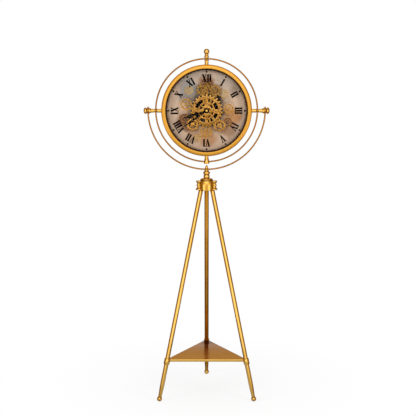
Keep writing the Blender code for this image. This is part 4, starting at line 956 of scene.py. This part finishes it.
# %% Dial ground
CLOUDS = (  # tone, middle and size in mm, amount, softness
    ("9A8B7E", (-40, 128), 52, 0.6, 0.5), ("9C9086", (70, 110), 48, 0.55, 0.5),
    ("A98A70", (0, -60), 110, 0.6, 0.5), ("686C70", (-60, 58), 52, 0.9, 0.28),
    ("7E8084", (-84, 100), 34, 0.6, 0.4), ("7A4718", (-2, 112), 32, 0.95, 0.3),
    ("A86A22", (108, -24), 38, 0.9, 0.3), ("6A3C12", (-88, -46), 36, 0.95, 0.28),
    ("9A5E22", (4, -116), 34, 0.8, 0.4), ("7A4A20", (96, -76), 30, 0.75, 0.4),
    ("8C5A28", (-50, -104), 30, 0.6, 0.4), ("5E4A3A", (124, 84), 26, 0.5, 0.5),
    # Painted shade: this brown middle and the nearly black cloud further down stand for the shade behind the
    # open wheels.
    ("3E2610", (0, 0), 84, 0.9, 0.4),
)
dial_print, tree, shader = new_material("matte_screen_print_on_aluminium")
flat = flat_place(tree)
radius = add_node(tree, "VectorMath LENGTH", flat)
wander = add_node(tree, "TexNoise", flat, 28, 5.0, 0.6)
fine_wander = add_node(tree, "TexNoise", flat, 160, 4.0, 0.6)
# Painted shadow: from the minute track outward the ground darkens towards the rim, standing for the bezel's
# shadow.
colour = add_node(tree, "ValToRGB", add_node(tree, "Math DIVIDE", radius, 185 * mm), stops=(
    (0.0, "9C7A5E"), (0.36, "B8957A"), (0.60, "C4A58B"), (0.84, "C4A58C"), (0.866, "A88A72"),
    (0.885, "806856"), (0.905, "5C4636"), (0.925, "38271B"), (0.945, "20130B"), (1.0, "1C100A"),
))


def cloud(colour, tone, middle, size, amount, softness):
    """Lay a soft cloud of one tone over a colour."""
    x, z = middle
    offset = add_node(tree, "VectorMath SUBTRACT", flat, (x * mm, 0, z * mm))
    reach = add_node(tree, "VectorMath LENGTH", offset)
    reach = add_node(tree, "Math DIVIDE", reach, size * mm)
    reach = add_node(tree, "Math SUBTRACT", reach, 0.55)
    pushed = add_node(tree, "Math MULTIPLY_ADD", wander, 1.1, reach)
    mask = add_node(tree, "MapRange", pushed, 1 + softness, 1 - softness, 0.0, amount, **SMOOTH)
    return add_node(tree, "Mix", mask, colour, linear(tone), data_type="RGBA")


for tone, middle, size, amount, softness in CLOUDS:
    colour = cloud(colour, tone, middle, size, amount, softness)
wear = add_node(tree, "Math MULTIPLY", fine_wander, 0.22)
worn = add_node(tree, "Mix", wear, colour, linear("EAD9C6"), data_type="RGBA")
# Painted shade: a nearly black cloud in the middle, behind the open wheels.
feed(shader, Base_Color=cloud(worn, "0A0604", (6, 10), 64, 0.97, 0.22),
     Roughness=add_node(tree, "Math MULTIPLY_ADD", fine_wander, 0.2, 0.55),
     Specular_IOR_Level=0.08,
     Normal=add_node(tree, "Bump", Distance=0.01 * mm, Height=fine_wander))
dress("dial", dial_print)
print("dial ground with", len(CLOUDS), "clouds")

# %% [markdown]
# Numerals are printed in bold black, with their feet towards the middle. Each is built from flat
# letter outlines: I, V and X with slab serifs, a thick and a thin stroke as Roman capitals have.

# %% Letters
numeral_height, numeral_outer = 32.0, 149.5  # in mm, and the radius of the letters' heads
letter_gap = 0.4
SERIF = 2.2
HIGH, low_slope = numeral_height, SERIF * 1.25
top, rise, high_slope = HIGH - SERIF, HIGH - 2 * SERIF, HIGH - low_slope
LETTERS = {  # width and outline, both in mm
    "I": (9.4, (
        (0, 0), (9.4, 0), (9.4, SERIF), (8.3, low_slope), (8.3, high_slope), (9.4, top), (9.4, HIGH),
        (0, HIGH), (0, top), (1.1, high_slope), (1.1, low_slope), (0, SERIF),
    )),
    "V": (21.0, (
        (9.4, 0), (12.8, 0), (18.6, top), (21, top), (21, HIGH), (13.0, HIGH), (13.0, top), (15.2, top),
        (12.4, 12.0), (9.0, top), (10.8, top), (10.8, HIGH), (0, HIGH), (0, top), (1.4, top),
    )),
    "X": (21.5, (
        (0, 0), (8, 0), (8, SERIF), (5.8, SERIF), (9.5, SERIF + 0.27 * rise), (12.4, SERIF), (10.8, SERIF),
        (10.8, 0), (21.5, 0), (21.5, SERIF), (20.2, SERIF), (13.8, SERIF + 0.58 * rise), (19.4, top),
        (21, top), (21, HIGH), (13.6, HIGH), (13.6, top), (15.9, top), (12.2, SERIF + 0.73 * rise),
        (9.2, top), (10.8, top), (10.8, HIGH), (0, HIGH), (0, top), (1.2, top),
        (7.8, SERIF + 0.405 * rise), (2.2, SERIF), (0, SERIF),
    )),
}


def plate_mesh(name, loops, thickness, back):
    """Closed outlines in millimetres on the dial's face, filled as one plate."""
    curve = bpy.data.curves.new(name, "CURVE")
    curve.dimensions = "2D"
    curve.fill_mode = "BOTH"
    curve.extrude = thickness / 2
    for loop in loops:
        spline = curve.splines.new("POLY")
        spline.points.add(len(loop) - 1)
        for point, (x, y) in zip(spline.points, loop):
            point.co = (x * mm, y * mm, 0, 1)
        spline.use_cyclic_u = True
    mesh = take_mesh(place_object(name, curve))
    shape = bmesh.new()
    shape.from_mesh(mesh)
    bmesh.ops.remove_doubles(shape, verts=shape.verts, dist=TOLERANCE / 8)
    to_face = FACE @ Matrix.Translation((0, 0, back + thickness / 2))
    bmesh.ops.transform(shape, matrix=to_face, verts=shape.verts)
    bmesh.ops.recalc_face_normals(shape, faces=shape.faces)
    shape.to_mesh(mesh)
    shape.free()
    return mesh


print("letters:", {letter: len(outline) for letter, (_, outline) in LETTERS.items()})

# %% [markdown]
# A numeral is set letter by letter, upright at twelve, and then turned to its hour. The whole
# ring of numerals is one thin plate of ink that is sunk a little in the dial.

# %% Numerals
NUMERALS = ("XII", "I", "II", "III", "IV", "V", "VI", "VII", "VIII", "IX", "X", "XI")
ink_height, ink_sunk = 0.15 * mm, 0.1 * mm
ink_back = forward_of("dial")[1] - ink_sunk
black_ink = plain_finish("black_screen_ink", ("050302", "0A0705"), (0.6, 0.75), 300, 0.0, 0.05)
loops = []
for hour, word in enumerate(NUMERALS):
    width = sum(LETTERS[letter][0] for letter in word) + letter_gap * (len(word) - 1)
    left, foot = -width / 2, numeral_outer - numeral_height
    cosine, sine = math.cos(math.radians(hour * 30)), math.sin(math.radians(hour * 30))
    for letter in word:
        advance, outline = LETTERS[letter]
        upright = [(left + x, foot + y) for x, y in outline]
        loops.append([(x * cosine + y * sine, y * cosine - x * sine) for x, y in upright])
        left += advance + letter_gap
numerals = plate_mesh("numerals", loops, ink_sunk + ink_height, ink_back)
settle("printed_numerals", numerals, black_ink, body_of["dial"], "printed_dial")
print("numerals:", " ".join(NUMERALS))

# %% [markdown]
# Under the numerals lies a faded print of clockwork: rings, a few cogs and spoked wheels in worn
# gold and rust ink. It is a plain design of this lesson's own. Each drawing is a thin plate that
# stands less than 0.2 mm out of the dial, and each has its own height, so that where two cross,
# one lies on the other as in a screen print.

# %% Faded clockwork print


def cog(radius, teeth, depth, middle, turn=0.0):
    """The outline of a cog: flat tips and flat roots."""
    points = []
    for tooth in range(teeth):
        for share, reach in ((0.0, radius - depth), (0.42, radius - depth), (0.54, radius), (0.88, radius)):
            angle = math.tau * (tooth + share) / teeth + turn
            points.append((middle[0] + reach * math.cos(angle), middle[1] + reach * math.sin(angle)))
    return points


def sectors(inner, outer, count, spoke, middle, turn=0.0):
    """The windows between the spokes of a wheel."""
    windows = []
    for i in range(count):
        first, last = math.tau * i / count + turn, math.tau * (i + 1) / count + turn
        window = []
        for radius, (a, b) in ((outer, (first, last)), (inner, (last, first))):
            gap = spoke / 2 / radius if a < b else -spoke / 2 / radius
            for k in range(9):
                angle = a + gap + (b - a - 2 * gap) * k / 8
                window.append((middle[0] + radius * math.cos(angle), middle[1] + radius * math.sin(angle)))
        windows.append(window)
    return windows


def worn_ink(name, tone, patch, kept):
    """Ink worn through to the ground: the plate lets the dial show where the noise is low."""
    material, tree, shader = new_material(name)
    flat = flat_place(tree)
    tint = add_node(tree, "TexNoise", flat, 120, 4.0)
    left = add_node(tree, "TexNoise", flat, patch, 5.0, 0.65)
    gloss = add_node(tree, "TexNoise", flat, 300, 3.0)
    feed(shader, Base_Color=add_node(tree, "ValToRGB", tint, stops=((0.35, tone[0]), (0.65, tone[1]))),
         Alpha=add_node(tree, "ValToRGB", left, stops=((kept - 0.12, 0.0), (kept + 0.1, 0.9))),
         Roughness=add_node(tree, "Math MULTIPLY_ADD", gloss, 0.2, 0.45), Specular_IOR_Level=0.2)
    return material


gold_ink = worn_ink("worn_gold_screen_ink", ("A06C1E", "C8923C"), 40, 0.36)
rust_ink = worn_ink("worn_rust_screen_ink", ("5A3410", "845020"), 50, 0.38)
pale_ink = worn_ink("worn_pale_screen_ink", ("C9A45E", "B08A4A"), 60, 0.38)
WHEELS = (  # name, ink, middle, radius, teeth, spokes
    ("left_upper", gold_ink, (-84, 26), 26, 18, 5), ("left_lower", rust_ink, (-92, -34), 23, 12, 0),
    ("foot_middle", gold_ink, (-2, -84), 27, 30, 6), ("foot_left", pale_ink, (-38, -112), 15, 14, 4),
    ("right", gold_ink, (92, 8), 22, 16, 4), ("right_low", rust_ink, (88, -48), 20, 20, 5),
    ("head", rust_ink, (6, 112), 21, 12, 3), ("right_upper", pale_ink, (76, 70), 17, 15, 5),
    ("left_head", pale_ink, (-74, 84), 19, 16, 0),
)
RINGS = (  # middle, radius, line width, steps
    ((0, 0), 114.5, 0.9, 96), ((0, 0), 108.5, 0.6, 96), ((0, 0), 84.0, 1.2, 96), ((0, 0), 79.5, 0.5, 96),
    ((-2, -84), 33, 1.2, 64), ((92, 8), 28, 0.9, 64), ((-84, 26), 33, 1.0, 64), ((36, 96), 30, 0.9, 64),
)
plates = []
for i, (name, ink, middle, radius, teeth, spokes) in enumerate(WHEELS):
    loops = [cog(radius, teeth, radius * 0.14, middle, i), circle(radius * 0.16, middle, 24)]
    if spokes:
        loops += sectors(radius * 0.36, radius * 0.66, spokes, radius * 0.14, middle, i)
    else:
        loops += [circle(radius * 0.62, middle, 48), circle(radius * 0.42, middle, 36)]
    plates.append(("print_wheel_" + name, ink, i + 1, loops))
for i, (middle, radius, width, steps) in enumerate(RINGS):
    loops = [circle(radius + width / 2, middle, steps), circle(radius - width / 2, middle, steps)]
    plates.append(("print_ring_%d" % i, rust_ink if i % 2 else gold_ink, len(WHEELS) + 1 + i / 2, loops))
print_layer = 0.012 * mm
for name, ink, layer, loops in plates:
    plate = plate_mesh(name, loops, ink_sunk + print_layer * layer, ink_back)
    settle(name, plate, ink, body_of["dial"], "printed_dial")
print("print plates:", len(plates))

# %% [markdown]
# Sixty minute marks, twelve hour dots, and the screws of the back cover with their washers all
# stand on circles. One node group makes such a ring of round heads, and its inputs say how many,
# how far out, how wide and how high.

# %% Ring of heads
ring_group = bpy.data.node_groups.new("ring_of_round_heads", "GeometryNodeTree")
for label, kind, default in (
    ("Count", "Int", 12), ("Circle Radius", "Float", 0.1), ("Head Radius", "Float", 0.002),
    ("Head Height", "Float", 0.001), ("Sides", "Int", 16), ("Finish", "Material", None),
):
    socket = ring_group.interface.new_socket(label, in_out="INPUT", socket_type="NodeSocket" + kind)
    if default is not None:
        socket.default_value = default
ring_group.interface.new_socket("Geometry", in_out="OUTPUT", socket_type="NodeSocketGeometry")
given = add_node(ring_group, "NodeGroupInput").node.outputs
ring = add_node(ring_group, "GeometryNodeMeshCircle", Vertices=given["Count"], Radius=given["Circle Radius"])
head = add_node(
    ring_group, "GeometryNodeMeshCylinder", Vertices=given["Sides"], Radius=given["Head Radius"],
    Depth=given["Head Height"], out="Mesh")
spread = add_node(ring_group, "GeometryNodeInstanceOnPoints", Points=ring, Instance=head)
real = add_node(ring_group, "GeometryNodeRealizeInstances", Geometry=spread)
dressed = add_node(ring_group, "GeometryNodeSetMaterial", Geometry=real, Material=given["Finish"])
add_node(ring_group, "NodeGroupOutput", Geometry=dressed)


def ring_of_heads(name, finish, slot, values, middle, turn=0.0, edge=0.0):
    """Heads on a circle round the dial's middle, with their mid height at a distance forward."""
    holder = place_object(name, bpy.data.meshes.new(name))
    maker = holder.modifiers.new("heads", "NODES")
    maker.node_group = ring_group
    inputs = [item.identifier for item in ring_group.interface.items_tree if item.in_out == "INPUT"]
    for identifier, value in zip(inputs, (*values, finish)):
        maker[identifier] = value
    if edge:
        add_bevel(holder, edge, 3)
    mesh = take_mesh(holder)
    mesh.transform(FACE @ Matrix.Translation((0, 0, middle)) @ Matrix.Rotation(turn, 4, "Z"))
    return settle(name, mesh, finish, "head", slot)


print("ring of heads with", len(ring_group.nodes), "nodes")

# %% [markdown]
# The marks are ink like the numerals. Eight screws hold the cover's rim, each on a thin washer.

# %% Marks and screws
ink_middle = ink_back + 0.13 * mm
minute_heads = (60, 163.6 * mm, 1.0 * mm, 0.2 * mm, 10)  # count, circle, head radius, height, sides
hour_heads = (12, 159.0 * mm, 3.9 * mm, 0.24 * mm, 24)
ring_of_heads("minute_marks", black_ink, "printed_dial", minute_heads, ink_middle)
ring_of_heads("hour_dots", black_ink, "printed_dial", hour_heads, ink_middle)
cover_rim = forward_of("back_cover")[0] + 3 * mm  # the dish stands this far behind the rim
half_step = math.radians(22.5)
for name, head_radius, height in (
    ("cover_screws", 2.7 * mm, 1.6 * mm), ("cover_washers", 3.6 * mm, 0.5 * mm),
):
    heads = (8, 180 * mm, head_radius, height, 32)
    ring_of_heads(name, zinc_steel, "plated_steel", heads, cover_rim - height / 2, half_step, 0.2 * mm)
print("cover rim", round(cover_rim / mm, 1), "mm forward of the tilt axis")

# %% [markdown]
# The second hand turns on a flat black boss, and a low gilt cap closes its middle.

# %% Boss and gilt cap of the second hand
boss_wide, boss_back, boss_front = 9.4 * mm, 15.7 * mm, 16.3 * mm
cap_wide, cap_face = 4.4 * mm, 3.0 * mm

second_back, second_front = forward_of("second_hand")
boss = drum(boss_wide, boss_back, boss_front, FORWARD, X_AXIS, 0.15 * mm, steps=48)
settle("second_hand_boss", boss, black_lacquer, body_of["second_hand"], slots["second_hand"])
print("second hand from", round(second_back / mm, 2), "to", round(second_front / mm, 2), "mm")
cap_low = second_front - 0.3 * mm
outline = (
    (0, cap_low + 1.1 * mm), (cap_face, cap_low + 1.0 * mm), (cap_wide, cap_low + 0.4 * mm),
    (cap_wide, cap_low), (0, cap_low),
)
cap = lathe_mesh("second_cap", soften(outline, False, 0.2 * mm), False, CENTRE, FORWARD, X_AXIS, 40)
settle("gilt_second_hand_cap", cap, polished_brass, body_of["second_hand"], "turned_brass")
